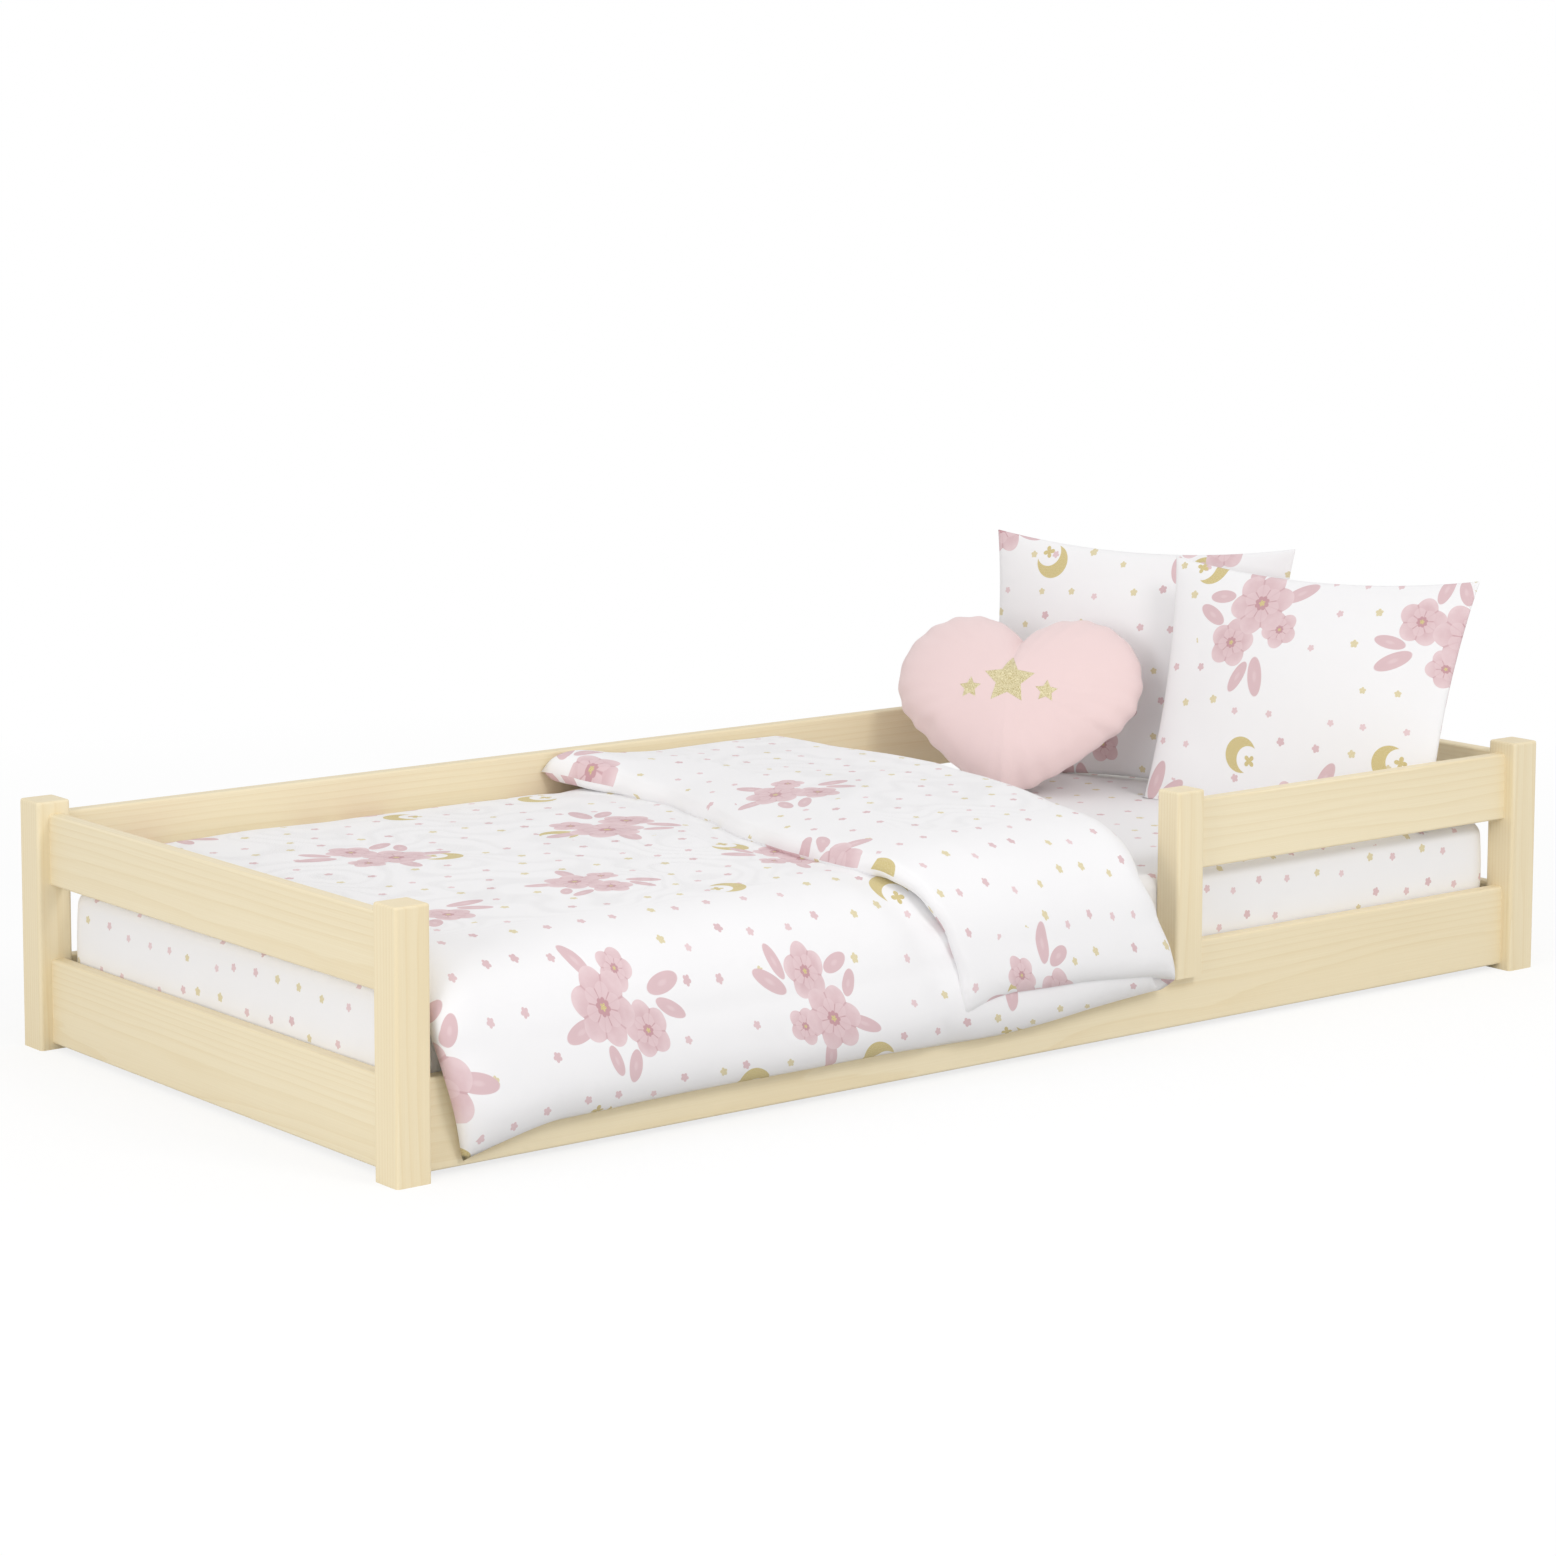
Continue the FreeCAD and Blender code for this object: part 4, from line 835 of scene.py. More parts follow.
class BED_OT_make_fitted_sheet(bpy.types.Operator):
    """Make the fitted sheet that is stretched over the mattress and tucked in under it"""

    bl_idname = "bed.make_fitted_sheet"
    bl_label = "Make fitted sheet"

    tuck = 0.09
    edge_radius = 0.0172
    corner_radius = 0.039
    cloth_thick = 0.0008

    def execute(self, context):
        low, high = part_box("fitted_sheet")
        rim, tuck = self.edge_radius, self.tuck
        # how far in from the sides, and how high
        steps = [(tuck, low.z), (0.06, low.z), (0.035, low.z)]
        for turn in range(7):
            angle = math.pi / 2 * turn / 6
            steps.append((rim * (1 - math.sin(angle)), low.z + rim * (1 - math.cos(angle))))
        steps += [(0, low.z + rim + (high.z - low.z - 2 * rim) * share) for share in (0.2, 0.4, 0.6, 0.8)]
        for turn in range(9):
            angle = math.pi / 2 * turn / 8
            steps.append((rim * (1 - math.cos(angle)), high.z - rim * (1 - math.sin(angle))))
        steps += [(inset, high.z) for inset in (0.03, 0.05, 0.08, 0.12, 0.17, 0.23, 0.29, 0.335)]
        rings = [self.ring(low, high, inset, z) for inset, z in steps]
        points = [point for ring in rings for point in ring]
        count = len(rings[0])
        last = (len(rings) - 1) * count
        faces = []
        for start in range(0, last, count):
            for i in range(count):
                j = (i + 1) % count
                faces.append([start + i, start + j, start + count + j, start + count + i])
        faces.append([last + i for i in range(count)])
        piece = mesh_piece("cotton_fitted_sheet", points, faces)
        self.gather(piece, low, high)
        skin = piece.modifiers.new("cloth", "SOLIDIFY")
        skin.thickness = self.cloth_thick
        skin.offset = -1
        bpy.ops.object.modifier_apply(modifier=skin.name)
        piece.data.materials.append(printed_cotton("printed_sheet", side_coordinates, -100.0, crease=0.8))
        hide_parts("fitted_sheet")
        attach(piece, "mattress_body")
        return {"FINISHED"}

    def ring(self, low, high, inset, z):
        """Points round a rounded rectangle, as many on each ring."""
        radius = max(self.corner_radius - inset, 0.004)
        x0, x1 = low.x + inset + radius, high.x - inset - radius
        y0, y1 = low.y + inset + radius, high.y - inset - radius
        corners = [(x1, y0), (x1, y1), (x0, y1), (x0, y0)]

        def on_corner(number, degrees):
            x, y = corners[number % 4]
            angle = math.radians(degrees)
            return Vector((x + radius * math.cos(angle), y + radius * math.sin(angle), z))

        points = []
        for number in range(4):
            start = 90 * (number - 1)
            points += [on_corner(number, start + 90 * step / 8) for step in range(9)]
            first, end = points[-1], on_corner(number + 1, start + 90)
            count = 90 if number % 2 else 42
            points += [first.lerp(end, step / count) for step in range(1, count)]
        return points

    def gather(self, piece, low, high):
        """Small upright gathers where the elastic pulls the sides in, and soft waves between."""
        middle = (low + high) / 2
        long_side = 0.33  # points further from the middle than this lie on a long side
        for point in piece.data.vertices:
            co = point.co
            height = (co.z - low.z) / (high.z - low.z)
            if 0.02 < height < 0.985:
                fullness = math.sin(math.pi * height)
                on_long_side = abs(co.y - middle.y) > long_side
                along = co.x if on_long_side else co.y
                near_corner = max(0, 1 - (high.x - low.x - 2 * abs(co.x - middle.x)) / 0.5)
                wave = 0.5 + 0.5 * ripple((along * 16, co.z * 3, 0), 1.0, 4.1)
                push = 0.0012 + 0.0022 * wave * fullness * (0.5 + near_corner)
                out = Vector((0, co.y - middle.y, 0) if on_long_side else (co.x - middle.x, 0, 0))
                point.co = co + out.normalized() * push * fullness


# ---------------------------------------------------------------- quilt

# Where the turned-down end's fold and its free edge lie: (way along the cloth from the back, X)
FOLD_LINE = [
    (0.0, 1.058), (0.11, 1.072), (0.22, 1.085), (0.30, 1.087), (0.38, 1.077), (0.48, 1.056), (0.61, 1.014),
    (0.70, 0.990), (0.76, 0.987), (0.80, 1.000), (0.84, 1.017), (0.88, 1.032),
]
FREE_EDGE = [
    (0.0, 0.674), (0.05, 0.692), (0.10, 0.716), (0.19, 0.723), (0.30, 0.697), (0.42, 0.661), (0.52, 0.646),
    (0.62, 0.643), (0.70, 0.648), (0.75, 0.664), (0.80, 0.684), (0.84, 0.699), (0.88, 0.714),
]
# Height of the lower hem, and of the turned-down end's: (X, Z)
HEM = [
    (0.04, 0.011), (0.08, 0.020), (0.18, 0.038), (0.36, 0.041), (0.61, 0.042), (0.78, 0.038), (1.03, 0.056),
]
TURNED_HEM = [(0.70, 0.084), (0.777, 0.090), (0.871, 0.088), (0.973, 0.081), (1.03, 0.073)]


class BED_OT_make_quilt(bpy.types.Operator):
    """Make the quilt, turned down towards the foot and hanging over the front rail"""

    bl_idname = "bed.make_quilt"
    bl_label = "Make quilt"

    # steps of the grid, from the back to the hem and from the foot to the free edge
    across = 104
    along = 184
    # where the cloth starts to roll over the front rail, and where the middle of the filling then hangs
    bend_start = 0.05
    hang_y = -0.0205
    # height of the middle of the filling, and how much higher and further out the turned-down end's is
    middle_height = 0.0213
    turned_rise = 0.0375
    turned_out = 0.0185
    # half of the sewn edge's thickness
    seam = 0.0012

    def execute(self, context):
        sizes = context.scene.bed_bedding
        self.back = DUVET_HIGH.y - 0.001
        self.foot = DUVET_LOW.x + 0.001
        self.low = SHEET_TOP + 0.0003
        self.flat = self.back - self.bend_start
        self.width = metres(sizes.quilt_width)
        self.fold_radius = metres(sizes.fold_radius)
        self.main_length = metres(sizes.quilt_length)
        self.turned_length = metres(sizes.turned_length)
        self.turn = math.pi * self.fold_radius
        self.total = self.main_length + self.turn + self.turned_length
        points, faces = stuffed_grid(self.across, self.along, self.spot)
        piece = mesh_piece("printed_quilt", points, faces)
        self.lay_out(piece)
        puff(piece, 1.0, 7, 0.003, self.fullness_at, stiffness=20.0)
        crumple(piece)
        self.dress(piece)
        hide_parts("duvet")
        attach(piece, "duvet_body")
        return {"FINISHED"}

    def on_cloth(self, u, v):
        """Lengths along the flat cloth from the back and the foot, with finer steps near the seams."""
        u = math.sin(u * math.pi / 2) * 0.35 + u * 0.65
        v = math.sin(v * math.pi / 2) * 0.25 + v * 0.75
        return (u + 1) / 2 * self.width, (v + 1) / 2 * self.total

    def spot(self, u, v, side):
        """A point of the quilt: u goes from the back to the hem, v from the foot to the free edge."""
        way, gone = self.on_cloth(u, v)
        left = self.total - gone
        centre, normal, outward = self.middle(way, gone)
        # shares from 0 to 1: hanging over the rail, turned down, and near the free edge
        hanging = min(max((way - 0.64) / 0.12, 0), 1)
        turned = min(max((gone - self.main_length) / self.turn, 0), 1)
        near_end = max(0, 1 - left / 0.12)
        pressed_in = self.pressed_in(way, centre.x, hanging) * (1 - turned) if side == 1 else 0
        # the turned-down end is rolled a little where it meets the back rail
        roll = math.exp(-((way / 0.1) ** 2) - ((left - 0.03) / 0.06) ** 2)
        thick = (0.0208 - 0.0075 * hanging) * (1 - turned) + (0.0158 - 0.0042 * hanging) * turned
        thick -= 0.004 * near_end
        thick += 0.006 * roll
        # the filling rounds off towards the seams
        ends = min(gone / 0.05, left / 0.015, 1)
        rim_share = min(min(way, self.width - way) / (0.045 - 0.022 * turned), 1)
        fullness = math.sqrt(1 - (1 - rim_share) ** 2) * math.sqrt(1 - (1 - ends) ** 2)
        half = self.seam + thick * fullness * (0.88 if 0.02 < turned < 0.98 else 1)
        # the lower side stays where it lies, so the thin sewn edge comes down to it
        pressed = 0.7 - 0.5 * turned - 0.1 * turned * hanging
        down = (0.009 * near_end * (1 - hanging) + pressed * (thick + self.seam - half)) * (1 - 0.6 * roll)
        centre = centre - outward * down + outward * 0.015 * roll
        # pointed corners at the hem
        ear = math.exp(-(((self.width - way) / 0.028) ** 2) - (min(gone, left) / 0.028) ** 2)
        droop = 0.004 * turned
        centre += Vector((-0.003 - droop, 0, -0.004 - droop)) * ear
        if side == 0:
            return centre
        puffed = 1 + 0.1 * ripple((way, gone, 0), 9.0, 1.3) * fullness
        return centre + normal * ((half * puffed - min(pressed_in, 0.7 * half)) * side)

    def pressed_in(self, way, x, hanging):
        """How far the face is pressed in beside the free edge that lies on it."""
        beside = (x - between(FREE_EDGE, way) + 0.012) / 0.024
        return 0.006 * math.exp(-(beside**2)) * (0.45 + 0.55 * hanging)

    def middle(self, way, gone):
        """The middle of the filling and which way its outer side faces."""
        fold = between(FOLD_LINE, way)
        free = between(FREE_EDGE, way)
        fallen = max(0, way - self.flat - 0.07) / 0.13
        foot = self.foot + 0.042 * fallen**1.5
        # the fold runs to a point where the hem's seam is folded with it
        hem_share = min((self.width - way) / 0.06, 1)
        roundness = 0.12 + 0.88 * math.sqrt(1 - (1 - hem_share) ** 2)
        radius = self.fold_radius * roundness
        bend_x = fold - 0.015 * roundness - radius
        if gone <= self.main_length:
            x = foot + (bend_x - foot) * gone / self.main_length
            layer, facing = 0.0, 0.0
        elif gone < self.main_length + self.turn:
            angle = (gone - self.main_length) / self.fold_radius
            x = bend_x + radius * math.sin(angle)
            layer, facing = (1 - math.cos(angle)) / 2, angle
        else:
            share = (gone - self.main_length - self.turn) / self.turned_length
            x = bend_x - (bend_x - free) * share
            layer, facing = 1.0, math.pi
        hem = between(HEM, x) * (1 - layer) + between(TURNED_HEM, x) * layer
        y, z, outward = self.section(way, layer, hem)
        normal = outward * math.cos(facing) - Vector((math.sin(facing), 0, 0))
        return Vector((x, y, z)), normal.normalized(), outward

    def section(self, way, layer, hem):
        """Y, Z and outward direction of the cloth some way from its back edge."""
        top = self.low + self.middle_height + self.turned_rise * layer
        front = self.hang_y - self.turned_out * layer
        radius = self.bend_start - front
        if way <= self.flat:
            return self.back - way, top, Vector((0, 0, 1))
        bend = radius * math.pi / 2
        gone = way - self.flat
        if gone < bend:
            sine, cosine = math.sin(gone / radius), math.cos(gone / radius)
            return self.bend_start - radius * sine, top - radius * (1 - cosine), Vector((0, -sine, cosine))
        hang_top = top - radius
        share = (gone - bend) / (self.width - self.flat - bend)
        belly = -0.007 * math.sin(math.pi * min(share * 1.05, 1)) * (1 - 0.5 * layer)
        return front + belly, hang_top - (hang_top - hem) * share, Vector((0, -1, 0))

    def fullness_at(self, point, index):
        """How full the quilt is at a point: 0 at the seams."""
        way, gone = self.places[index]
        return min(way / 0.04, (self.width - way) / 0.04, gone / 0.04, (self.total - gone) / 0.03, 1)

    def lay_out(self, piece):
        """Keep each point's place on the flat cloth, and tell the face of the cloth from its reverse."""
        self.places = []
        # the second side has no rim of its own
        for rim in (0, 1):
            for i in range(rim, self.across + 1 - rim):
                for j in range(rim, self.along + 1 - rim):
                    self.places.append(self.on_cloth(2 * i / self.across - 1, 2 * j / self.along - 1))
        layer = piece.data.uv_layers.new(name="flat_cloth")
        for loop in piece.data.loops:
            way, gone = self.places[loop.vertex_index]
            layer.data[loop.index].uv = (gone + 0.03, 0.11 - way)
        half = len(piece.data.polygons) // 2
        for number, face in enumerate(piece.data.polygons):
            face.material_index = 0 if number < half else 1

    def dress(self, piece):
        def face(w, place):
            return w.node("ShaderNodeUVMap", {"uv_map": "flat_cloth"}).outputs[0]

        def reverse(w, place):
            """Lengths counted back from the free edge, so that the bunches of flowers stay next to it."""
            along, across = w.split(face(w, place))[:2]
            return w.join(w.minus(self.total + 0.06, along), w.minus(across, 0.19))

        piece.data.materials.append(printed_cotton("printed_quilt_face", face, crease=0.9))
        piece.data.materials.append(printed_cotton("printed_quilt_reverse", reverse, 0.17, crease=0.9))


def crumple(piece):
    """Soft dents and creases of cloth that has been lain on."""
    normals = [point.normal.copy() for point in piece.data.vertices]
    for point, normal in zip(piece.data.vertices, normals):
        broad = ripple(point.co, 7.0, 2.2)
        small = ripple(point.co, 22.0, 5.7)
        point.co += normal * (0.0016 * broad + 0.0005 * small)
        point.co.y = min(point.co.y, INNER_BACK)
    piece.data.update()


# ---------------------------------------------------------------- pillows


class BED_OT_make_pillows(bpy.types.Operator):
    """Make the two pillows, with pointed corners and edges drawn in between them"""

    bl_idname = "bed.make_pillows"
    bl_label = "Make pillows"

    # middle, degrees turned about Z and leaning back, and how much narrower the foot is
    spots = {
        "back_pillow": ((1.484, 0.522, 0.3316), 21.0, 8.0, 0.0),
        "front_pillow": ((1.489, 0.220, 0.3255), 16.0, 18.0, 0.06),
    }

    def execute(self, context):
        sizes = context.scene.bed_bedding
        self.half_wide, self.half_high = metres(sizes.pillow_width) / 2, metres(sizes.pillow_height) / 2
        self.crown = metres(sizes.pillow_crown)
        for order, (node, (middle, turn, lean, narrow)) in enumerate(self.spots.items()):
            self.seed = 3.1 + 2.7 * order
            self.narrow = narrow
            rotation = Euler((math.radians(-lean), 0, math.radians(turn - 90)))
            points, faces = stuffed_grid(64, 48, self.spot)
            piece = mesh_piece(f"printed_{node}", points, faces)
            puff(piece, 3.0, 14, 0.008, by_thickness)
            subdivide(piece)
            self.stand(piece, Matrix.Translation(middle) @ rotation.to_matrix().to_4x4())
            piece.data.materials.append(self.cover(node, middle, rotation, order))
            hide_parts(node)
            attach(piece, f"{node}_body")
        return {"FINISHED"}

    def spot(self, u, v, side):
        """A point of the filled cover from its place on the flat cloth."""
        u = math.sin(u * math.pi / 2) * 0.5 + u * 0.5
        v = math.sin(v * math.pi / 2) * 0.5 + v * 0.5
        # the edges draw in between the corners
        x = u * (self.half_wide - 0.013 * (1 - v**2)) * (1 - self.narrow * (1 - v) / 2)
        z = v * (self.half_high - 0.019 * (1 - u**2))
        crown = max(0.0, (1 - u**2) * (1 - v**2)) ** 0.62
        y = -side * (SEAM + self.crown * crown)
        # small pleats run in from the corners
        pleat = math.exp(-((1 - abs(u)) ** 2 + (1 - abs(v)) ** 2) / 0.09)
        y += -side * 0.0022 * pleat * math.sin(26 * (u - v) + self.seed) * crown
        return Vector((x, y, z))

    def stand(self, piece, place):
        """Put the pillow at its place, pressed flat where it meets the sheet and the rails."""
        for point in piece.data.vertices:
            co = place @ point.co
            co.z = max(co.z, BEDDING_FLOOR)
            # above the rails it may lean out a little
            over = 0.2 * max(0, co.z - RAIL_TOP)
            co.y = min(max(co.y, INNER_FRONT - over), INNER_BACK + over)
            point.co = co
        piece.data.update()

    def cover(self, node, middle, rotation, order):
        """The pillow's cotton, cut from a part of the cloth of its own."""

        def on_face(w, place):
            x, y, z = w.split(w.mapped(place, "TEXTURE", middle, rotation))
            # the back shows another part of the cloth than the face
            x = w.plus(x, w.times(w.math("GREATER_THAN", y, 0.0), 0.5))
            return w.join(w.plus(x, 0.61 + 0.83 * order), w.plus(z, 0.47 + 0.39 * order))

        return printed_cotton(f"printed_{node}_cover", on_face, crease=0.7)


# ---------------------------------------------------------------- heart cushion


class BED_OT_make_heart_cushion(bpy.types.Operator):
    """Make the stuffed heart with its puckered seam and gold stars"""

    bl_idname = "bed.make_heart_cushion"
    bl_label = "Make heart cushion"

    # rings of points from the seam to the middle, and points on each
    rings = 16
    around = 168
    scallops = 28
    # where its tip stands, and how it is turned
    foot = Vector((1.244, 0.508, 0.180))
    rotation = Euler((math.radians(-32), 0, math.radians(35 - 90)))
    # the middle between its faces and that of its stars, from the tip
    middle = Vector((0, 0, 0.138))
    stars_middle = Vector((0, 0, 0.142))

    def execute(self, context):
        sizes = context.scene.bed_bedding
        self.half, self.height = metres(sizes.heart_width) / 2, metres(sizes.heart_height)
        self.crown = metres(sizes.heart_crown)
        points, faces = self.cover()
        piece = mesh_piece("stuffed_heart", points, faces)
        puff(piece, 2.5, 12, 0.006, by_thickness)
        subdivide(piece)
        place = Matrix.Translation(self.foot) @ self.rotation.to_matrix().to_4x4()
        for point in piece.data.vertices:
            co = place @ point.co
            co.z = max(co.z, BEDDING_FLOOR)
            point.co = co
        piece.data.update()
        piece.data.materials.append(self.plush())
        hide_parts("heart_cushion")
        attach(piece, "heart_body")
        return {"FINISHED"}

    def cover(self):
        """Points and faces of the two sides, which share their seam."""
        outline = self.outline()
        count = self.around
        points, faces = [], []
        for side in (1, -1):
            for ring in range(0 if side == 1 else 1, self.rings):
                for number, (x, z) in enumerate(outline):
                    points.append(self.spot(x, z, 1 - ring / self.rings, side, number / count))
            points.append(Vector((0, -side * (self.crown + 0.0005), self.middle.z)))
        front_middle = self.rings * count

        def corner(side, ring, number):
            """A point's index; past the last ring it is the side's middle."""
            if ring == self.rings:
                return front_middle if side == 1 else len(points) - 1
            start = ring * count if side == 1 or ring == 0 else front_middle + 1 + (ring - 1) * count
            return start + number % count

        for ring in range(self.rings):
            for i in range(count):
                for side, first, second in ((1, i, i + 1), (-1, i + 1, i)):
                    outer = [corner(side, ring, first), corner(side, ring, second)]
                    inner = [corner(side, ring + 1, second), corner(side, ring + 1, first)]
                    faces.append(outer + (inner if ring + 1 < self.rings else inner[:1]))
        return points, faces

    def outline(self):
        """Points round the heart's seam, evenly spaced, from its lower tip."""
        half, height = self.half, self.height
        lobe = 0.56 * half
        lobe_x, lobe_z = half - lobe, height - lobe
        cleft = lobe_z + math.sqrt(lobe**2 - lobe_x**2)
        reach = math.hypot(lobe_x, lobe_z)
        slope = math.atan2(lobe_z, lobe_x) - math.asin(lobe / reach)
        # the slightly bowed side, then the lobe round to the cleft
        right = []
        tangent = math.sqrt(reach**2 - lobe**2)
        for step in range(40):
            share = step / 40
            bow = 0.03 * height * 4 * share * (1 - share)
            x = tangent * math.cos(slope) * share + bow * math.sin(slope)
            z = tangent * math.sin(slope) * share - bow * math.cos(slope)
            right.append(Vector((x, z)))
        start = slope - math.pi / 2
        end = math.atan2(cleft - lobe_z, -lobe_x)
        for step in range(61):
            angle = start + (end - start) * step / 60
            right.append(Vector((lobe_x + lobe * math.cos(angle), lobe_z + lobe * math.sin(angle))))
        line = right + [Vector((-point.x, point.y)) for point in right[-2:0:-1]]
        lengths = [0.0]
        for first, second in zip(line, line[1:] + line[:1]):
            lengths.append(lengths[-1] + (second - first).length)
        points = []
        for number in range(self.around):
            target = lengths[-1] * number / self.around
            k = max(i for i, length in enumerate(lengths) if length <= target + 1e-12)
            k = min(k, len(line) - 1)
            first, second = line[k], line[(k + 1) % len(line)]
            span = max(lengths[k + 1] - lengths[k], 1e-9)
            points.append(first.lerp(second, (target - lengths[k]) / span))
        return points

    def spot(self, x, z, share, side, round_share):
        """A point of the heart: share is 1 at the seam and 0 in the middle."""
        rim = share**0.8
        scallop = math.sin(math.tau * self.scallops * round_share)
        scallop *= 0.7 + 0.4 * math.sin(math.tau * 5 * round_share + 1)
        seam = 0.0019 * scallop * share**5
        out = Vector((x, 0, z - self.middle.z))
        length = out.length
        out = out * (rim * (1 + seam / max(length, 1e-6)))
        crown = (1 - rim**2.1) ** 0.6
        # thinner beside the cleft, where the seam comes near the middle
        narrow = min(1.0, length / 0.1)
        pucker = 0.0015 * scallop * rim**5 * (1 - rim)
        y = -side * ((SEAM + self.crown * crown) * (1 - 0.45 * (1 - narrow) * rim**3) + 6 * pucker)
        return Vector((out.x, y, self.middle.z + out.z))

    def plush(self):
        """Brushed blush cotton with gold stars on its face."""
        design = bpy.context.scene.bed_print
        material, w, shader = new_material("blush_brushed_cotton")
        place = w.object_place()
        stars_middle = self.foot + self.rotation.to_matrix() @ self.stars_middle
        own_place = w.mapped(place, "TEXTURE", stars_middle, self.rotation)
        nap = w.noise(place, 700.0, 3.0, 0.7)
        cloud = w.noise(place, 18.0, 3.0)
        darker = tuple(0.9 * share for share in design.blush)
        cloth = w.mix(w.plus(w.times(nap, 0.35), w.times(cloud, 0.35)), design.blush, darker)
        stars = grouped(w, star_group(), Place=own_place, Cloth=cloth, Gold=(*design.gold, 1))
        w.put(shader.inputs["Base Color"], stars.outputs["Color"])
        w.put(shader.inputs["Metallic"], w.times(stars.outputs["Mask"], 0.35))
        weave = grouped(w, weave_group(), Place=place, Thread=0.0009, Crease=0.5)
        height = w.plus(weave.outputs["Height"], w.times(nap, 0.35))
        bump(w, shader, w.plus(height, stars.outputs["Height"]), 0.0009, 0.6)
        cloth_finish(shader, sheen=0.35)
        w.put(shader.inputs["Roughness"], w.minus(0.92, w.times(stars.outputs["Mask"], 0.5)))
        return material


# ---------------------------------------------------------------- stage


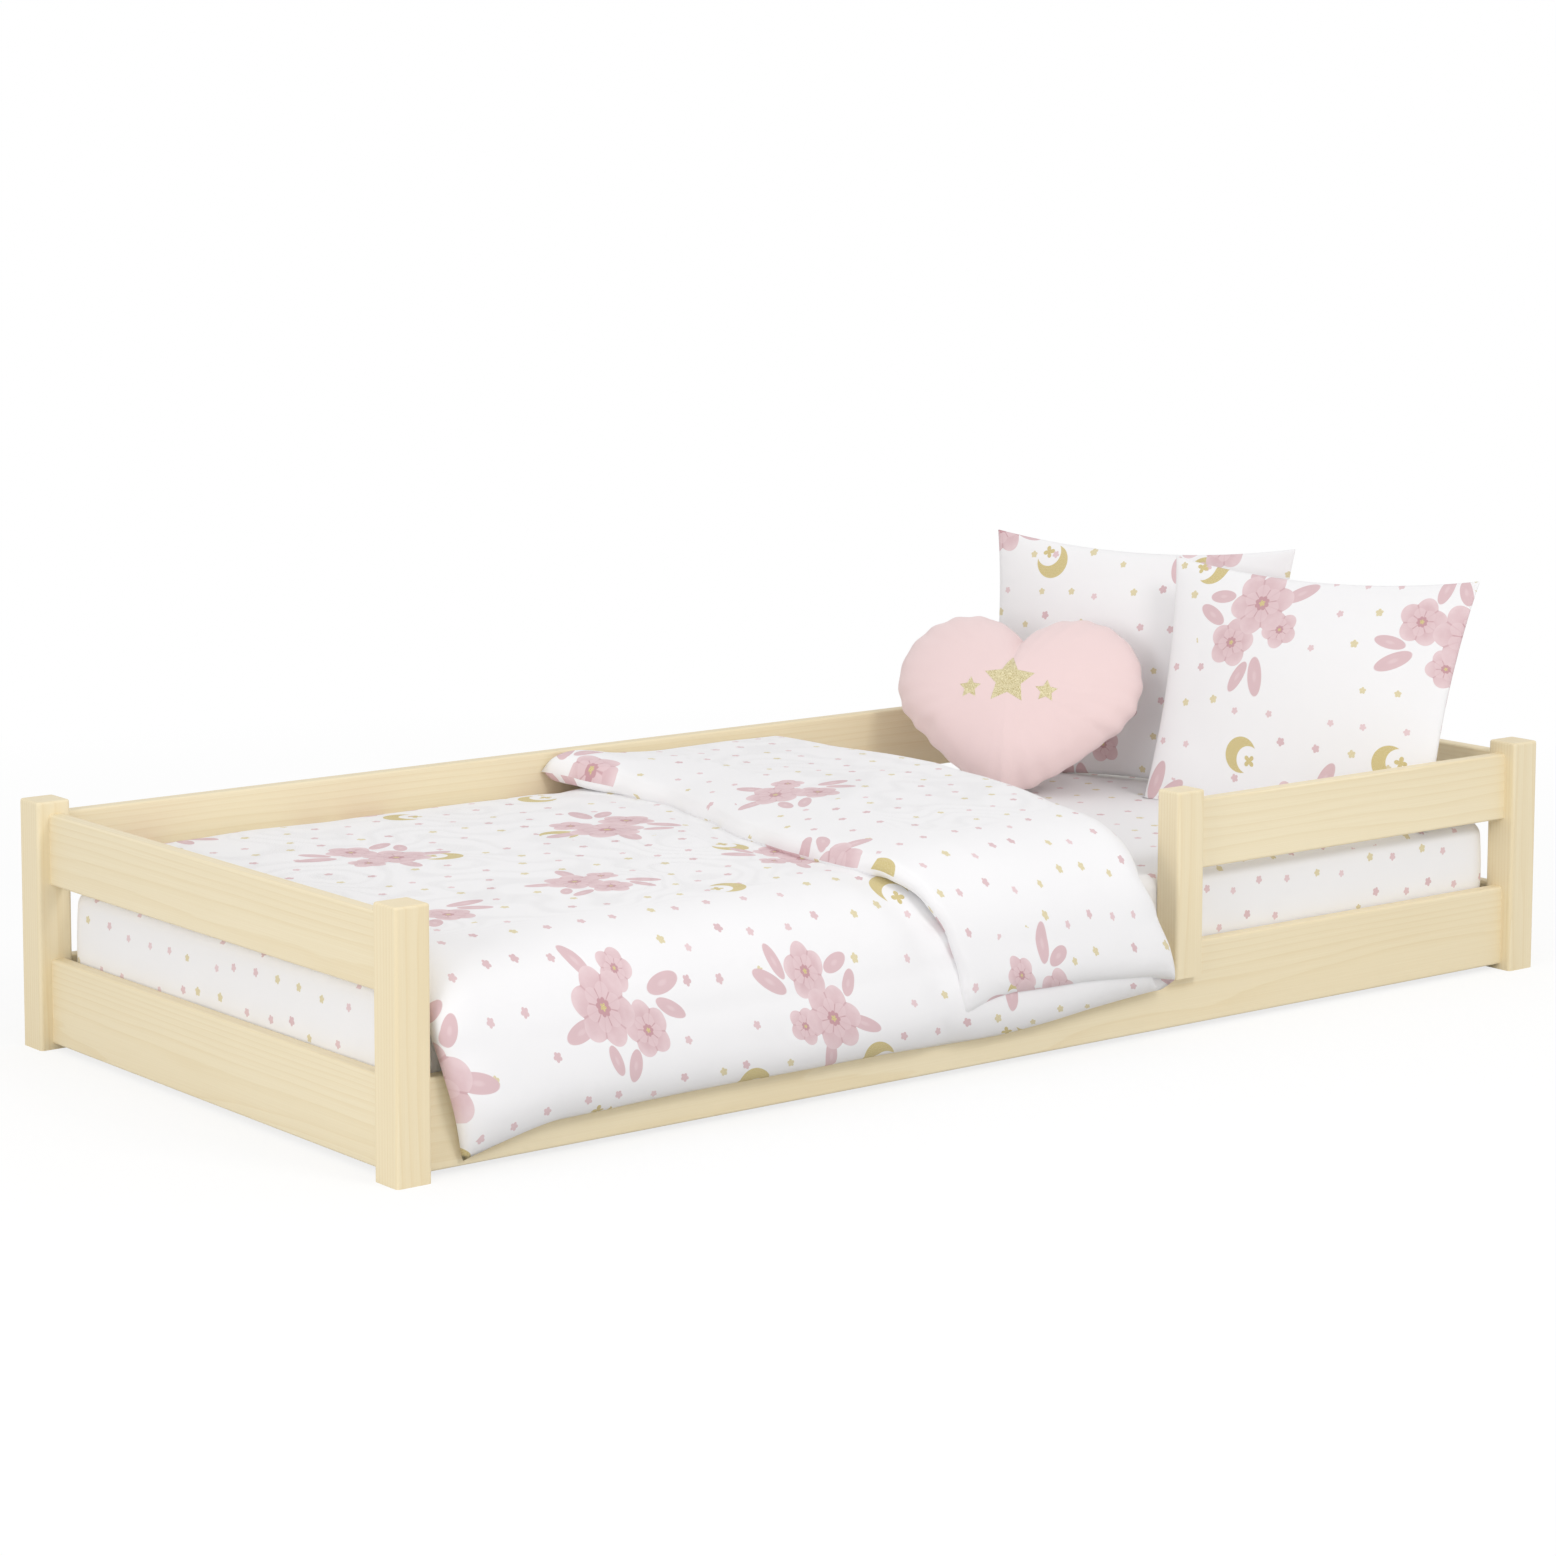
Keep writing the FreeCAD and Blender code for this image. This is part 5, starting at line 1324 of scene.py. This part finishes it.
class BED_OT_set_stage(bpy.types.Operator):
    """Set the pale floor, the soft light and the camera"""

    bl_idname = "bed.set_stage"
    bl_label = "Set stage"

    # how far from the middle of the floor shadows stay, and the share of plain white there
    shadow_reach = 1.3
    plain_share = 0.78

    def execute(self, context):
        stage = context.scene.bed_stage
        self.floor()
        self.light(stage)
        self.camera(stage)
        context.scene.view_settings.view_transform = "Standard"
        return {"FINISHED"}

    def floor(self):
        deselect()
        bpy.ops.mesh.primitive_plane_add(size=60, location=(0.8, 0.4, 0))
        ground = bpy.context.object
        ground.name = "studio_floor"
        material = bpy.data.materials.new("pale_floor")
        w = fresh_wires(material)
        # white to the eye, but grey to the light that it throws back on the bed
        path = w.node("ShaderNodeLightPath")
        seen = w.math("MAXIMUM", path.outputs["Is Camera Ray"], path.outputs["Is Glossy Ray"])
        seen = w.math("MAXIMUM", seen, path.outputs["Is Transmission Ray"])
        paint = w.node("ShaderNodeBsdfDiffuse", Color=w.mix(seen, (0.66, 0.66, 0.66), (1, 1, 1)))
        glow = w.node("ShaderNodeEmission", Color=(1, 1, 1, 1), Strength=1.0)
        # shadows show near the bed and fade away from it
        away = w.minus(w.vector("LENGTH", w.object_place()), self.shadow_reach)
        plain = w.plus(self.plain_share, w.times(away, 1 - self.plain_share), clamp=True)
        plain = w.math("MAXIMUM", plain, self.plain_share)
        blend = w.node("ShaderNodeMixShader")
        w.put(blend.inputs[0], w.times(seen, plain))
        w.put(blend.inputs[1], paint.outputs[0])
        w.put(blend.inputs[2], glow.outputs[0])
        output = w.node("ShaderNodeOutputMaterial")
        w.put(output.inputs[0], blend.outputs[0])
        ground.data.materials.append(material)
        ground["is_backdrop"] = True

    def light(self, stage):
        world = bpy.data.worlds.new("studio")
        bpy.context.scene.world = world
        w = fresh_wires(world)
        path = w.node("ShaderNodeLightPath")
        seen = w.math("MAXIMUM", path.outputs["Is Camera Ray"], path.outputs["Is Transmission Ray"])
        strength = w.plus(stage.sky, w.times(seen, 1 - stage.sky))
        sky = w.node("ShaderNodeBackground", Color=(1, 1, 1, 1), Strength=strength)
        w.put(w.node("ShaderNodeOutputWorld").inputs[0], sky.outputs[0])
        for name, place, aim, size, power in (
            ("key_lamp", (1.1, -3.3, 2.9), (0.7, 0.4, 0.15), 1.2, stage.key),
            ("left_lamp", (-3.2, -1.0, 1.2), (0.3, 0.3, 0.15), 1.6, stage.key * 0.8),
        ):
            lamp = bpy.data.lights.new(name, "AREA")
            lamp.shape = "SQUARE"
            lamp.size = size
            lamp.energy = power
            holder = bpy.data.objects.new(name, lamp)
            holder.location = place
            holder.rotation_euler = (Vector(aim) - Vector(place)).to_track_quat("-Z", "Y").to_euler()
            bpy.context.scene.collection.objects.link(holder)

    def camera(self, stage):
        lens = bpy.data.cameras.new("camera")
        lens.sensor_width = 36
        lens.lens = stage.focal_share * lens.sensor_width
        lens.shift_y = stage.rise
        lens.clip_start, lens.clip_end = 0.1, 100
        holder = bpy.data.objects.new("camera", lens)
        forward, up = Vector(stage.camera_forward).normalized(), Vector(stage.camera_up)
        right = forward.cross(up).normalized()
        up = right.cross(forward)
        turned = Matrix((right, up, -forward)).transposed()
        holder.matrix_world = Matrix.Translation(stage.camera_place) @ turned.to_4x4()
        bpy.context.scene.collection.objects.link(holder)
        bpy.context.scene.camera = holder


# ---------------------------------------------------------------- panel and registration


GROUPS = {"bed_timber": BedTimber, "bed_print": BedPrint, "bed_bedding": BedBedding, "bed_stage": BedStage}
STEPS = (
    BED_OT_finish_timber,
    BED_OT_make_mattress,
    BED_OT_make_fitted_sheet,
    BED_OT_make_quilt,
    BED_OT_make_pillows,
    BED_OT_make_heart_cushion,
    BED_OT_set_stage,
)


class BED_PT_panel(bpy.types.Panel):
    """Buttons that finish the bed one group at a time"""

    bl_idname = "BED_PT_panel"
    bl_label = "Floor bed"
    bl_space_type = "VIEW_3D"
    bl_region_type = "UI"
    bl_category = "Floor bed"

    def draw(self, context):
        for step in STEPS:
            self.layout.operator(step.bl_idname)
        for group in GROUPS:
            settings = getattr(context.scene, group)
            box = self.layout.box()
            for name in settings.__annotations__:
                box.prop(settings, name)


def register():
    for name, group in GROUPS.items():
        bpy.utils.register_class(group)
        setattr(bpy.types.Scene, name, bpy.props.PointerProperty(type=group))
    for step in STEPS:
        bpy.utils.register_class(step)
    bpy.utils.register_class(BED_PT_panel)


def unregister():
    bpy.utils.unregister_class(BED_PT_panel)
    for step in reversed(STEPS):
        bpy.utils.unregister_class(step)
    for name, group in GROUPS.items():
        delattr(bpy.types.Scene, name)
        bpy.utils.unregister_class(group)


def main():
    register()
    for step in STEPS:
        area, name = step.bl_idname.split(".")
        getattr(getattr(bpy.ops, area), name)()
    boxes = {"cad": CAD_BOX, "visual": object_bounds()}
    {key: [list(corner) for corner in box] for key, box in boxes.items()}


if __name__ == "__main__":
    main()
